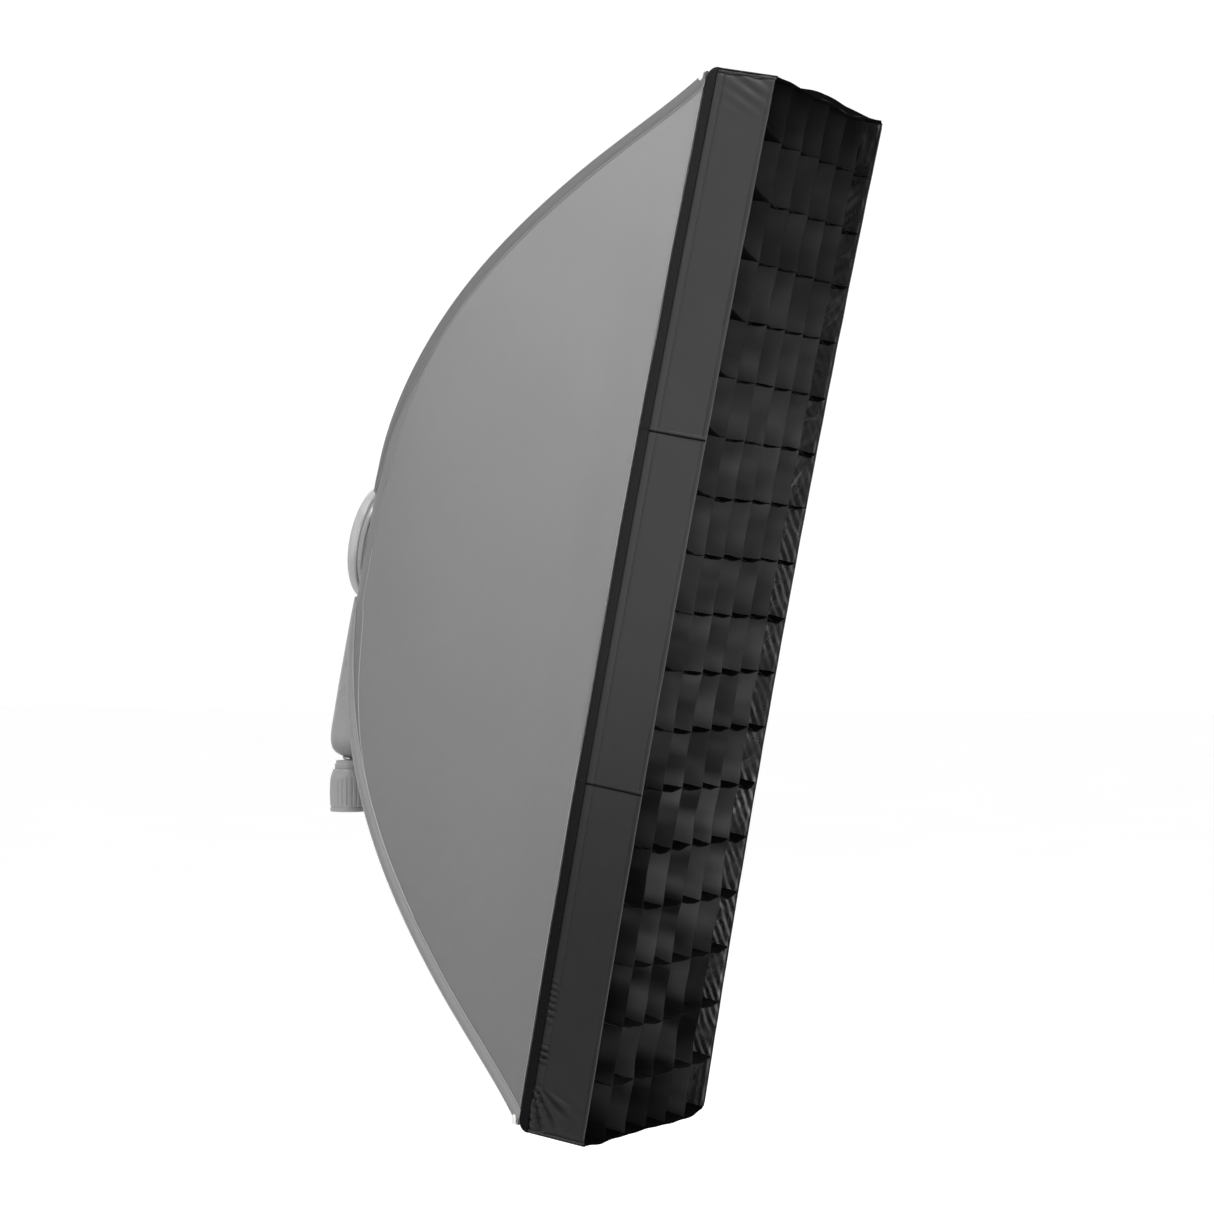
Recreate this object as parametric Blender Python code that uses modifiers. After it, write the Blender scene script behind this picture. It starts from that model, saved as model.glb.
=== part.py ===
"""Strip softbox with a soft grid, held by a ball head that sits on a light stand.

World frame: metres, +Z up, +Y the way the light leaves, X across the width.
The origin is the flat seat at the top of the stand socket.
The softbox is modelled in its own upright frame (u across, v forward, w along the long side, with
v = 0 at the rear plane of the fabric and w = 0 at the hub), and that frame is pitched forward about the ball.
"""
import bpy
import bmesh
import math
from mathutils import Vector, Matrix

for ob in list(bpy.data.objects):
    bpy.data.objects.remove(ob, do_unlink=True)

# ---------------------------------------------------------------- driving dimensions
HALF_W = 0.150            # half the width of the front opening
HALF_L = 0.450            # half the length of the front opening
DEPTH = 0.277             # rear fabric plane to the front rim
HUB_U, HUB_W = 0.0475, 0.0475   # half sizes of the fabric's rear opening
FABRIC = 0.0012           # fabric solid thickness
GAP = 0.0004              # clearance between pieces that touch
GRID_DEPTH = 0.060        # depth of the grid
GRID_COLS, GRID_ROWS = 6, 18
STRIP_T = 0.0008          # grid strip thickness
ROD_R = 0.0025            # rod radius
ROD_OFF = 0.0056          # rod centre line to the fabric's outer surface
TILT = math.radians(10.5) # forward pitch at rest
BALL_Z = 0.0105           # ball centre above the seat
BALL_V, BALL_WW = -0.0010, -0.2005  # ball centre in the softbox frame
HINGE_U, HINGE_V, HINGE_W = 0.036, 0.0140, 0.0520   # rod hinge axis, parallel to X
V_REAR = 0.0020           # fabric outer surface at the rear opening
PROFILE = (1.737, -2.462, 3.381, -1.656)  # bulge of the rods, powers 2 to 5

# ---------------------------------------------------------------- collections and frames
parts = bpy.data.collections.new("strip_softbox")
tools = bpy.data.collections.new("cutters")
bpy.context.scene.collection.children.link(parts)
bpy.context.scene.collection.children.link(tools)


def empty(name, parent=None, matrix=None, location=None):
    ob = bpy.data.objects.new(name, None)
    ob.empty_display_size = 0.03
    parts.objects.link(ob)
    if parent:
        ob.parent = parent
    if matrix is not None:
        ob.matrix_basis = matrix
    if location is not None:
        ob.location = location
    return ob


stand_frame = empty("stand_frame")
ball_frame = empty("ball_frame", stand_frame,
                   Matrix.Translation((0, 0, BALL_Z)) @ Matrix.Rotation(-TILT, 4, "X"))
# softbox coordinates, relative to the ball centre
BALL_LOCAL = Vector((0.0, BALL_V, BALL_WW))
box_frame = empty("softbox_frame", ball_frame, location=-BALL_LOCAL)


def material(name, rgb, rough, metal=0.0):
    m = bpy.data.materials.new(name)
    m.use_nodes = True
    b = m.node_tree.nodes["Principled BSDF"]
    b.inputs["Base Color"].default_value = (rgb[0], rgb[1], rgb[2], 1.0)
    b.inputs["Roughness"].default_value = rough
    b.inputs["Metallic"].default_value = metal
    return m


SHELL = (0.235, 0.235, 0.238)
BLACK = (0.018, 0.018, 0.020)


def finish(ob, mat_rgb, rough, metal=0.0, parent=box_frame, smooth=None, frame=None):
    """Give the object its own material, put it in the part's collection and parent it."""
    mat = material(ob.name + "_finish", mat_rgb, rough, metal)
    ob.data.materials.clear()
    ob.data.materials.append(mat)
    if ob.name not in parts.objects:
        for c in list(ob.users_collection):
            c.objects.unlink(ob)
        parts.objects.link(ob)
    ob.parent = parent
    if ob.type == "MESH":
        if smooth is not None:
            ob.data.shade_smooth()
            ob.data.set_sharp_from_angle(angle=math.radians(smooth))
        else:
            ob.data.shade_flat()
    return ob


def new_object(name, bm):
    me = bpy.data.meshes.new(name)
    bm.normal_update()
    bm.to_mesh(me)
    bm.free()
    return bpy.data.objects.new(name, me)


# ---------------------------------------------------------------- shape helpers
def turned(name, profile, steps=40, axis="V"):
    """Screw a profile of (r, h) pairs; h runs along v (axis V) or along Z (axis Z).
    The profile is listed with its outer side running from the top down."""
    bm = bmesh.new()
    vs = [bm.verts.new((r, 0, h)) for r, h in profile]
    closed = profile[0][0] > 1e-9
    for a, b in zip(vs, vs[1:]):
        bm.edges.new((a, b))
    if closed:
        bm.edges.new((vs[-1], vs[0]))
    ob = new_object(name, bm)
    s = ob.modifiers.new("turn", "SCREW")
    s.axis = "Z"
    s.steps = steps
    s.render_steps = steps
    s.use_merge_vertices = not closed
    s.merge_threshold = 0.00001
    s.use_smooth_shade = False
    if axis == "V":
        ob.rotation_euler = (-math.pi / 2, 0, 0)
    return ob


def box(name, lo, hi, bevel=0.0, segments=2):
    bm = bmesh.new()
    bmesh.ops.create_cube(bm, size=1.0)
    lo, hi = Vector(lo), Vector(hi)
    c, d = (lo + hi) / 2, hi - lo
    for v in bm.verts:
        v.co = Vector((v.co.x * d.x, v.co.y * d.y, v.co.z * d.z)) + c
    ob = new_object(name, bm)
    if bevel:
        m = ob.modifiers.new("edges", "BEVEL")
        m.width = bevel
        m.segments = segments
        m.limit_method = "ANGLE"
    return ob


def rod_cylinder(name, radius, a, b, sides=16, radius2=None):
    """A cylinder or cone between two points."""
    a, b = Vector(a), Vector(b)
    bm = bmesh.new()
    bmesh.ops.create_cone(bm, cap_ends=True, cap_tris=False, segments=sides,
                          radius1=radius, radius2=radius if radius2 is None else radius2,
                          depth=(b - a).length)
    q = Vector((0, 0, 1)).rotation_difference((b - a).normalized())
    bmesh.ops.transform(bm, matrix=Matrix.Translation((a + b) / 2) @ q.to_matrix().to_4x4(), verts=bm.verts)
    return new_object(name, bm)


def cutter(ob, parent=box_frame):
    tools.objects.link(ob)
    ob.parent = parent
    ob.hide_render = True
    ob.display_type = "WIRE"
    return ob


def boolean(ob, other, operation):
    m = ob.modifiers.new(operation.lower(), "BOOLEAN")
    m.operation = operation
    m.solver = "EXACT"
    m.object = other
    return m


def sheet(name, point, us, vs, thickness, offset=-1.0):
    """A fabric panel: a grid of points from a rule, given thickness inward."""
    bm = bmesh.new()
    grid = [[bm.verts.new(point(a, b)) for b in vs] for a in us]
    for i in range(len(us) - 1):
        for j in range(len(vs) - 1):
            bm.faces.new((grid[i][j], grid[i + 1][j], grid[i + 1][j + 1], grid[i][j + 1]))
    ob = new_object(name, bm)
    m = ob.modifiers.new("thickness", "SOLIDIFY")
    m.thickness = thickness
    m.offset = offset
    m.use_even_offset = True
    return ob


def rounded_rectangle(hu, hw, r, n=3):
    pts = []
    for cu, cw, a0 in ((hu - r, hw - r, 0), (-(hu - r), hw - r, 90), (-(hu - r), -(hw - r), 180), (hu - r, -(hw - r), 270)):
        for k in range(n + 1):
            a = math.radians(a0 + 90 * k / n)
            pts.append((cu + r * math.cos(a), cw + r * math.sin(a)))
    return pts


def loop_band(name, outline, v0, v1, thickness):
    """A closed band of fabric or tape around the opening, thickness inward."""
    bm = bmesh.new()
    a = [bm.verts.new((u, v0, w)) for u, w in outline]
    b = [bm.verts.new((u, v1, w)) for u, w in outline]
    n = len(outline)
    for i in range(n):
        j = (i + 1) % n
        bm.faces.new((a[i], b[i], b[j], a[j]))
    ob = new_object(name, bm)
    m = ob.modifiers.new("thickness", "SOLIDIFY")
    m.thickness = thickness
    m.offset = -1.0
    m.use_even_offset = True
    return ob


def flat_plate(name, outline, thickness):
    """A flat outline in the u, w plane with a thickness along v, centred on its own origin."""
    cu = bpy.data.curves.new(name, "CURVE")
    cu.dimensions = "2D"
    cu.fill_mode = "BOTH"
    cu.extrude = thickness / 2
    sp = cu.splines.new("POLY")
    sp.points.add(len(outline) - 1)
    for p, (x, y) in zip(sp.points, outline):
        p.co = (x, y, 0, 1)
    sp.use_cyclic_u = True
    return bpy.data.objects.new(name, cu)


def tube(name, points, radius):
    cu = bpy.data.curves.new(name, "CURVE")
    cu.dimensions = "3D"
    cu.bevel_depth = radius
    cu.bevel_resolution = 2
    cu.use_fill_caps = True
    sp = cu.splines.new("POLY")
    sp.points.add(len(points) - 1)
    for p, co in zip(sp.points, points):
        p.co = (co[0], co[1], co[2], 1)
    return bpy.data.objects.new(name, cu)


# ---------------------------------------------------------------- shell shape
def v_of(b):
    """Depth of the seam at half length b."""
    x = (b - HUB_W) / (HALF_L - HUB_W)
    return V_REAR + (DEPTH - V_REAR) * sum(c * x ** (i + 2) for i, c in enumerate(PROFILE))


def a_of(b):
    """Half width of the seam at half length b: the rod bends in one plane."""
    return HUB_U + (b - HUB_W) / (HALF_L - HUB_W) * (HALF_W - HUB_U)


def b_at(v):
    lo, hi = HUB_W, HALF_L
    for _ in range(50):
        mid = (lo + hi) / 2
        if v_of(mid) < v:
            lo = mid
        else:
            hi = mid
    return (lo + hi) / 2


RIM_BACK = 0.0130                     # rim band's depth
B_END = b_at(DEPTH - RIM_BACK - GAP)  # panels stop just behind the rim band


def seam(b):
    return Vector((a_of(b), v_of(b), b))


def inward_normals(b):
    e = 1e-4
    t = (seam(b + e) - seam(b - e)) / (2 * e)
    side = Vector((-t.y, t.x, 0)).normalized()     # side panel: straight along w
    end = Vector((0, t.z, -t.y)).normalized()      # end panel: straight along u
    if side.y < 0:
        side = -side
    return side, end


def rod_line(b):
    """Rod centre line: inside both panels, and from the hinge at its inner end."""
    s, e = inward_normals(b)
    d = (s + e) * (ROD_OFF / (1 + s.dot(e)))
    p = seam(b) + d
    start = Vector((HINGE_U, HINGE_V, HINGE_W))
    slope = Vector((0.030, 0.0125, 0.082))
    q = start + slope * ((b - HINGE_W) / 0.082)
    x = min(max((b - 0.060) / 0.11, 0), 1)
    x = x * x * (3 - 2 * x)
    return q.lerp(p, x)


def spread(n, first, last, power=1.0):
    return [first + (last - first) * (k / n) ** power for k in range(n + 1)]


# ---------------------------------------------------------------- shell panels
levels = spread(20, HUB_W, B_END, 1.15)
for side, sx in (("left", -1), ("right", 1)):
    order = (lambda a, b: Vector((sx * a_of(a), v_of(a), b * a)))
    cols = [-1, 1] if sx < 0 else [1, -1]
    finish(sheet("side_panel_" + side, order, levels, cols, FABRIC), SHELL, 0.8, smooth=40)
INSET = FABRIC + 2 * GAP
for side, sw in (("top", 1), ("bottom", -1)):
    order = (lambda a, b: Vector((b * (a_of(a) - INSET), v_of(a), sw * a)))
    cols = [-1, 1] if sw > 0 else [1, -1]
    finish(sheet("end_panel_" + side, order, levels, cols, FABRIC), SHELL, 0.8, smooth=40)

# rear collar: flat fabric with a round hole for the speedring
collar = flat_plate("rear_collar_blank", rounded_rectangle(HUB_U - GAP, HUB_W - GAP, 0.004), FABRIC)
sp = collar.data.splines.new("POLY")
sp.points.add(39)
for k, p in enumerate(sp.points):
    a = -2 * math.pi * k / 40
    p.co = (0.0394 * math.cos(a), 0.0394 * math.sin(a), 0, 1)
sp.use_cyclic_u = True


def plate_to_mesh(ob, name, offset, basis):
    """Turn a flat curve plate into a mesh with welded caps, placed by a basis."""
    parts.objects.link(ob)
    bpy.context.view_layer.update()
    me = bpy.data.meshes.new_from_object(ob.evaluated_get(bpy.context.evaluated_depsgraph_get()))
    bpy.data.objects.remove(ob)
    bm = bmesh.new()
    bm.from_mesh(me)
    bmesh.ops.remove_doubles(bm, verts=bm.verts, dist=1e-6)
    bmesh.ops.recalc_face_normals(bm, faces=bm.faces)
    bmesh.ops.transform(bm, matrix=Matrix.Translation(offset) @ basis, verts=bm.verts)
    bmesh.ops.recalc_face_normals(bm, faces=bm.faces)
    bm.to_mesh(me)
    bm.free()
    me.name = name
    return bpy.data.objects.new(name, me)


# curve plane (x, y) becomes (u, w): z of the curve becomes -v
UW = Matrix(((1, 0, 0, 0), (0, 0, -1, 0), (0, 1, 0, 0), (0, 0, 0, 1)))
# curve plane (x, y) becomes (w, v): for the long strips, thickness along u
WV = Matrix(((0, 0, 1, 0), (0, 1, 0, 0), (1, 0, 0, 0), (0, 0, 0, 1)))
# curve plane (x, y) becomes (u, v): for the short strips, thickness along w
UV = Matrix(((1, 0, 0, 0), (0, 1, 0, 0), (0, 0, 1, 0), (0, 0, 0, 1)))

finish(plate_to_mesh(collar, "rear_collar", (0, 0.0015, 0), UW), SHELL, 0.85)

# rim band and diffusers
RIM_T = 0.0024
finish(loop_band("rim_band", rounded_rectangle(HALF_W, HALF_L, 0.008), DEPTH - RIM_BACK, DEPTH, RIM_T), SHELL, 0.8)
finish(plate_to_mesh(flat_plate("front_blank", rounded_rectangle(HALF_W - RIM_T - GAP, HALF_L - RIM_T - GAP, 0.006), 0.0010),
                     "front_diffuser", (0, DEPTH - 0.0070, 0), UW), (0.80, 0.80, 0.80), 0.7)
INNER_V = 0.140
ib = b_at(INNER_V)
iu, iw, ic = a_of(ib) - 0.0050, ib - 0.0050, 0.016
finish(plate_to_mesh(flat_plate("inner_blank", [(iu, -iw + ic), (iu, iw - ic), (iu - ic, iw), (-iu + ic, iw), (-iu, iw - ic),
                                                (-iu, -iw + ic), (-iu + ic, -iw), (iu - ic, -iw)], 0.0010),
                     "inner_diffuser", (0, INNER_V, 0), UW), (0.80, 0.80, 0.80), 0.7)

# ---------------------------------------------------------------- rods with their sockets, pins and tips
ROD_FIRST = 0.0640
ROD_LAST = b_at(DEPTH - 0.030)
for nm, sx, sw in (("upper_right", 1, 1), ("upper_left", -1, 1), ("lower_right", 1, -1), ("lower_left", -1, -1)):
    hinge = empty("hinge_" + nm, box_frame, location=(sx * HINGE_U, HINGE_V, sw * HINGE_W))
    off = Vector((sx * HINGE_U, HINGE_V, sw * HINGE_W))

    def here(p, sx=sx, sw=sw, off=off):
        return Vector((sx * p[0], p[1], sw * p[2])) - off

    line = [rod_line(b) for b in spread(14, ROD_FIRST, ROD_LAST)]
    finish(tube("rod_" + nm, [here(p) for p in line], ROD_R), (0.30, 0.30, 0.31), 0.35, 0.6, hinge)
    # socket: a knuckle on the pin, a neck, and a tube that takes the rod's end
    p0, p1, p2 = rod_line(0.0608), rod_line(0.0780), rod_line(0.0900)
    body = rod_cylinder("rod_socket_" + nm, 0.0045, here((HINGE_U - 0.0030, HINGE_V, HINGE_W)),
                        here((HINGE_U + 0.0030, HINGE_V, HINGE_W)), 16)
    neck = cutter(box("neck_" + nm, Vector((-0.0026, -0.0030, 0.0 if sw > 0 else -0.0105)),
                      Vector((0.0026, 0.0040, 0.0105 if sw > 0 else 0.0))), hinge)
    sleeve = cutter(rod_cylinder("sleeve_" + nm, 0.0042, here(p0), here(p1), 14), hinge)
    d0 = (p1 - rod_line(ROD_FIRST)).normalized()
    bore = cutter(rod_cylinder("rod_bore_" + nm, ROD_R + 0.0005, here(rod_line(ROD_FIRST) - d0 * 0.0006), here(p2), 14), hinge)
    pin_hole = cutter(rod_cylinder("pin_bore_" + nm, 0.0018, here((HINGE_U - 0.010, HINGE_V, HINGE_W)),
                                   here((HINGE_U + 0.010, HINGE_V, HINGE_W)), 14), hinge)
    boolean(body, neck, "UNION")
    boolean(body, sleeve, "UNION")
    boolean(body, bore, "DIFFERENCE")
    boolean(body, pin_hole, "DIFFERENCE")
    finish(body, (0.05, 0.05, 0.052), 0.5, 0.0, hinge, smooth=35)
    finish(rod_cylinder("hinge_pin_" + nm, 0.0014, here((HINGE_U - 0.0064, HINGE_V, HINGE_W)),
                        here((HINGE_U + 0.0064, HINGE_V, HINGE_W)), 12), (0.5, 0.5, 0.5), 0.3, 1.0, box_frame, smooth=35)
    bpy.data.objects["hinge_pin_" + nm].location = off
    # tip: a turned cap with a blind bore over the rod's end
    e = rod_line(ROD_LAST)
    t = (e - rod_line(ROD_LAST - 0.004)).normalized()
    tip = turned("rod_tip_" + nm, [(0, 0.0070), (0.0020, 0.0066), (0.0034, 0.0050), (0.0037, 0.0025), (0.0037, -0.0060),
                                   (0.0029, -0.0060), (0.0029, 0.0008), (0, 0.0008)], 14, "Z")
    tv = Vector((sx * t.x, t.y, sw * t.z))
    tip.rotation_mode = "QUATERNION"
    tip.rotation_quaternion = Vector((0, 0, 1)).rotation_difference(tv)
    tip.location = here(e)
    finish(tip, (0.60, 0.60, 0.60), 0.5, 0.0, hinge, smooth=35)

# ---------------------------------------------------------------- hub
BORE_R = 0.0340
ring = turned("speedring", [(BORE_R - 0.001, 0.0200), (0.0390, 0.0200), (0.0390, 0.0005), (0.0465, 0.0005), (0.0465, -0.0037),
                            (BORE_R - 0.001, -0.0037)], 36)
ring.rotation_euler = (0, 0, 0)
bpy.context.scene.collection.objects.link(ring)
bpy.context.view_layer.update()
me = bpy.data.meshes.new_from_object(ring.evaluated_get(bpy.context.evaluated_depsgraph_get()))
bpy.data.objects.remove(ring)
me.transform(Matrix.Rotation(-math.pi / 2, 4, "X"))
ring = bpy.data.objects.new("speedring", me)
bore = cutter(rod_cylinder("speedring_bore", BORE_R, (0, -0.030, 0), (0, 0.050, 0), 36))
for i, (sx, sw) in enumerate(((1, 1), (-1, 1), (1, -1), (-1, -1))):
    def q(lo, hi, sx=sx, sw=sw):
        x = sorted((sx * lo[0], sx * hi[0]))
        z = sorted((sw * lo[2], sw * hi[2]))
        return (x[0], lo[1], z[0]), (x[1], hi[1], z[1])
    foot = cutter(box("bracket_foot_%d" % i, *q((0.0220, 0.0062, 0.0200), (0.0428, 0.0088, 0.0580))))
    ear1 = cutter(box("bracket_inner_%d" % i, *q((0.0294, 0.0080, 0.0250), (0.0326, 0.0182, 0.0575))))
    ear2 = cutter(box("bracket_outer_%d" % i, *q((0.0394, 0.0080, 0.0450), (0.0426, 0.0182, 0.0575))))
    boolean(ring, foot, "UNION")
    boolean(ring, ear1, "UNION")
    boolean(ring, ear2, "UNION")
boolean(ring, bore, "DIFFERENCE")
for i, (sx, sw) in enumerate(((1, 1), (-1, 1), (1, -1), (-1, -1))):
    hole = cutter(rod_cylinder("bracket_hole_%d" % i, 0.0017, (sx * 0.0270, HINGE_V, sw * HINGE_W),
                               (sx * 0.0450, HINGE_V, sw * HINGE_W), 14))
    boolean(ring, hole, "DIFFERENCE")
finish(ring, (0.12, 0.12, 0.125), 0.45, 0.2, smooth=30)
finish(turned("retainer_ring", [(0.0394, 0.0056), (0.0455, 0.0056), (0.0459, 0.0052), (0.0459, 0.0025), (0.0394, 0.0025)], 32),
       (0.05, 0.05, 0.052), 0.5, smooth=30)
finish(turned("bearing_ring", [(0.0372, -0.0041), (0.0460, -0.0041), (0.0460, -0.0071), (0.0372, -0.0071)], 32),
       (0.03, 0.03, 0.03), 0.4, smooth=30)
HUB_R = 0.0490
finish(turned("hub_rear_cover", [(0.0450, -0.0146), (HUB_R, -0.0146), (HUB_R, -0.0200), (HUB_R - 0.0010, -0.0210),
                                 (0.0450, -0.0210)], 40), (0.42, 0.42, 0.42), 0.45, smooth=30)
finish(turned("mount_ring", [(BORE_R + 0.001, -0.0146), (0.0446, -0.0146), (0.0446, -0.0200), (0.0440, -0.0205),
                             (0.0362, -0.0205), (BORE_R + 0.001, -0.0193)], 32), (0.62, 0.62, 0.62), 0.3, 1.0, smooth=30)

# hub front ring with the handle moulded on
arm_levels = [  # w, half width, rear v, front v
    (-0.0300, 0.0155, -0.0225, -0.0078), (-0.0500, 0.0170, -0.0228, -0.0030), (-0.0700, 0.0172, -0.0230, -0.0012),
    (-0.1000, 0.0168, -0.0230, 0.0020), (-0.1300, 0.0160, -0.0226, 0.0060), (-0.1550, 0.0150, -0.0218, 0.0090),
    (-0.1700, 0.0142, -0.0212, 0.0102), (-0.1800, 0.0130, -0.0198, 0.0096), (-0.1866, 0.0108, -0.0166, 0.0074),
    (-0.1896, 0.0082, -0.0118, 0.0048), (-0.1905, 0.0058, -0.0078, 0.0030)]
bm = bmesh.new()
N = 16
rings = []
for w, hu, vr, vf in arm_levels:
    row = []
    for k in range(N):
        a = 2 * math.pi * k / N
        c, s = math.cos(a), math.sin(a)
        pu = hu * math.copysign(abs(c) ** 0.80, c)
        pv = (vr + vf) / 2 + (vf - vr) / 2 * math.copysign(abs(s) ** 0.80, s)
        row.append(bm.verts.new((pu, pv, w)))
    rings.append(row)
for r0, r1 in zip(rings, rings[1:]):
    for k in range(N):
        bm.faces.new((r0[k], r1[k], r1[(k + 1) % N], r0[(k + 1) % N]))
bm.faces.new(rings[0])
bm.faces.new(list(reversed(rings[-1])))
bmesh.ops.recalc_face_normals(bm, faces=bm.faces)
arm = new_object("hub_arm", bm)
saddle = cutter(rod_cylinder("arm_saddle", HUB_R + 0.0005, (0, -0.060, 0), (0, -0.0136, 0), 46))
clear_front = cutter(rod_cylinder("arm_clear", 0.0472, (0, -0.0081, 0), (0, 0.060, 0), 46))
arm_ring = turned("arm_ring", [(0.0372, -0.0075), (HUB_R - 0.0006, -0.0075), (HUB_R, -0.0081), (HUB_R, -0.0142), (0.0372, -0.0142)], 40)
arm_ring.rotation_euler = (-math.pi / 2, 0, 0)
cutter(arm_ring)
arm_bore = cutter(rod_cylinder("arm_core", 0.0400, (0, -0.060, 0), (0, 0.060, 0), 46))
boolean(arm, saddle, "DIFFERENCE")
boolean(arm, clear_front, "DIFFERENCE")
boolean(arm, arm_bore, "DIFFERENCE")
boolean(arm, arm_ring, "UNION")
stem_bore = cutter(rod_cylinder("stem_bore", 0.0034, (0, BALL_V, -0.200), (0, BALL_V, -0.1735), 16))
boolean(arm, stem_bore, "DIFFERENCE")
screw_bore = cutter(rod_cylinder("screw_bore", 0.0021, (0, -0.030, -0.1800), (0, BALL_V, -0.1800), 14))
boolean(arm, screw_bore, "DIFFERENCE")
screw_seat = cutter(rod_cylinder("screw_seat", 0.0036, (0, -0.030, -0.1800), (0, -0.0170, -0.1800), 16))
boolean(arm, screw_seat, "DIFFERENCE")
finish(arm, (0.16, 0.16, 0.165), 0.35, smooth=40)
screw = turned("arm_screw", [(0, 0.0050), (0.0014, 0.0050), (0.0028, 0.0042), (0.0030, 0.0034), (0.0030, 0.0016), (0.0016, 0.0016),
                             (0.0016, -0.0112), (0, -0.0112)], 16, "Z")
screw.rotation_euler = (math.pi / 2, 0, 0)
screw.location = (0, -0.0157, -0.1800)
finish(screw, (0.55, 0.55, 0.55), 0.3, 1.0, smooth=30)

# ---------------------------------------------------------------- ball head (stem along w, in the ball's frame)
stem = [(0, 0.0250), (0.0026, 0.0250), (0.0030, 0.0246), (0.0030, 0.0096), (0.0058, 0.0096), (0.0063, 0.0091), (0.0063, 0.0080)]
stem += [(0.0050, 0.0076), (0.0049, 0.00570)]
R_BALL = 0.0075
for k in range(1, 10):
    a = math.radians(49 - (49 + 90) * k / 9)
    stem.append((max(R_BALL * math.cos(a), 0.0), R_BALL * math.sin(a)))
stem[-1] = (0.0, -R_BALL)
finish(turned("ball_stem", stem, 18, "Z"), (0.70, 0.70, 0.70), 0.25, 1.0, ball_frame, smooth=40)

seat = [(0.0072, 0.0135), (0.0096, 0.0135), (0.0096, 0.0025), (0.0043, 0.0025)]
for k in range(6):
    h = 0.0040 + (0.0130 - 0.0040) * k / 5
    seat.append((math.sqrt(max(0.0078 ** 2 - (h - BALL_Z) ** 2, 0)), h))
finish(turned("ball_seat", seat, 18, "Z"), (0.75, 0.75, 0.72), 0.5, 0.0, stand_frame, smooth=40)

SOCKET_R, SOCKET_LEN = 0.0081, 0.0290
finish(turned("socket_body", [(0, 0.0021), (0.0099, 0.0021), (0.0099, 0.0152), (0.0092, 0.0152), (0.0092, 0.0165), (0.0096, 0.0170),
                              (0.0103, 0.0168), (0.0105, 0.0142), (0.0114, 0.0136), (0.0114, -SOCKET_LEN), (SOCKET_R, -SOCKET_LEN),
                              (SOCKET_R, 0.0), (0, 0.0)], 26, "Z"), (0.16, 0.16, 0.165), 0.4, 0.3, stand_frame, smooth=30)

# lock collar: ribbed outside, plain bore
bm = bmesh.new()
N = 42
LV = [(-0.0290, 0.0146, 0), (-0.0284, 0.0150, 0), (-0.0250, 0.0151, 0), (-0.0242, 0.0147, 0), (-0.0236, 0.0150, 1),
      (-0.0120, 0.0156, 1), (0.0010, 0.0151, 1), (0.0040, 0.0146, 0), (0.0082, 0.0134, 0), (0.0090, 0.0128, 0)]
rows = []
for z, r, rib in LV:
    row = []
    for k in range(N):
        a = 2 * math.pi * k / N
        rr = r - (0.0009 if rib and k % 3 == 0 else 0.0)
        row.append(bm.verts.new((rr * math.cos(a), rr * math.sin(a), z)))
    rows.append(row)
inner = []
for z in (0.0090, -0.0290):
    inner.append([bm.verts.new((0.0118 * math.cos(2 * math.pi * k / N), 0.0118 * math.sin(2 * math.pi * k / N), z)) for k in range(N)])
loop = rows + inner
for r0, r1 in zip(loop, loop[1:] + loop[:1]):
    for k in range(N):
        j = (k + 1) % N
        bm.faces.new((r0[k], r0[j], r1[j], r1[k]))
bmesh.ops.recalc_face_normals(bm, faces=bm.faces)
finish(new_object("lock_collar", bm), (0.17, 0.17, 0.175), 0.45, 0.0, stand_frame, smooth=25)

# ---------------------------------------------------------------- grid
grid_frame = empty("grid_frame", box_frame, location=(0, DEPTH, 0))
G0 = 0.0004                       # grid's rear edge in front of the rim
BIND = 0.0088
SKIRT_T = 0.0016
finish(loop_band("grid_binding", rounded_rectangle(HALF_W + 0.0008, HALF_L + 0.0008, 0.008), G0, G0 + BIND, 0.0028), BLACK, 0.95,
       parent=grid_frame)
finish(loop_band("grid_skirt", rounded_rectangle(HALF_W, HALF_L, 0.008), G0 + BIND + GAP, GRID_DEPTH, SKIRT_T), (0.055, 0.055, 0.058), 0.8,
       parent=grid_frame)
IN_U, IN_W = HALF_W - SKIRT_T - GAP, HALF_L - SKIRT_T - GAP
S0, S1 = G0 + BIND + 2 * GAP, GRID_DEPTH - 0.0008
MID = (S0 + S1) / 2
SLOT = STRIP_T / 2 + 0.0004


def comb(half, centres, slot_low):
    """A strip's outline (along, depth) with a slot at each centre, from the rear (low) or the front."""
    low, high = [], []
    if slot_low:
        for c in centres:
            low += [(c - SLOT, S0), (c - SLOT, MID + GAP / 2), (c + SLOT, MID + GAP / 2), (c + SLOT, S0)]
    else:
        for c in reversed(centres):
            high += [(c + SLOT, S1), (c + SLOT, MID - GAP / 2), (c - SLOT, MID - GAP / 2), (c - SLOT, S1)]
    return [(-half, S0)] + low + [(half, S0), (half, S1)] + high + [(-half, S1)]


us = [-HALF_W + 2 * HALF_W * k / GRID_COLS for k in range(1, GRID_COLS)]
ws = [-HALF_L + 2 * HALF_L * k / GRID_ROWS for k in range(1, GRID_ROWS)]
for k, u in enumerate(us, 1):
    finish(plate_to_mesh(flat_plate("long_blank", comb(IN_W, ws, True), STRIP_T), "grid_long_%d" % k, (u, 0, 0), WV), BLACK, 0.5,
           parent=grid_frame)
for k, w in enumerate(ws, 1):
    finish(plate_to_mesh(flat_plate("short_blank", comb(IN_U, us, False), STRIP_T), "grid_short_%02d" % k, (0, 0, w), UV), BLACK, 0.5,
           parent=grid_frame)
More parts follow.
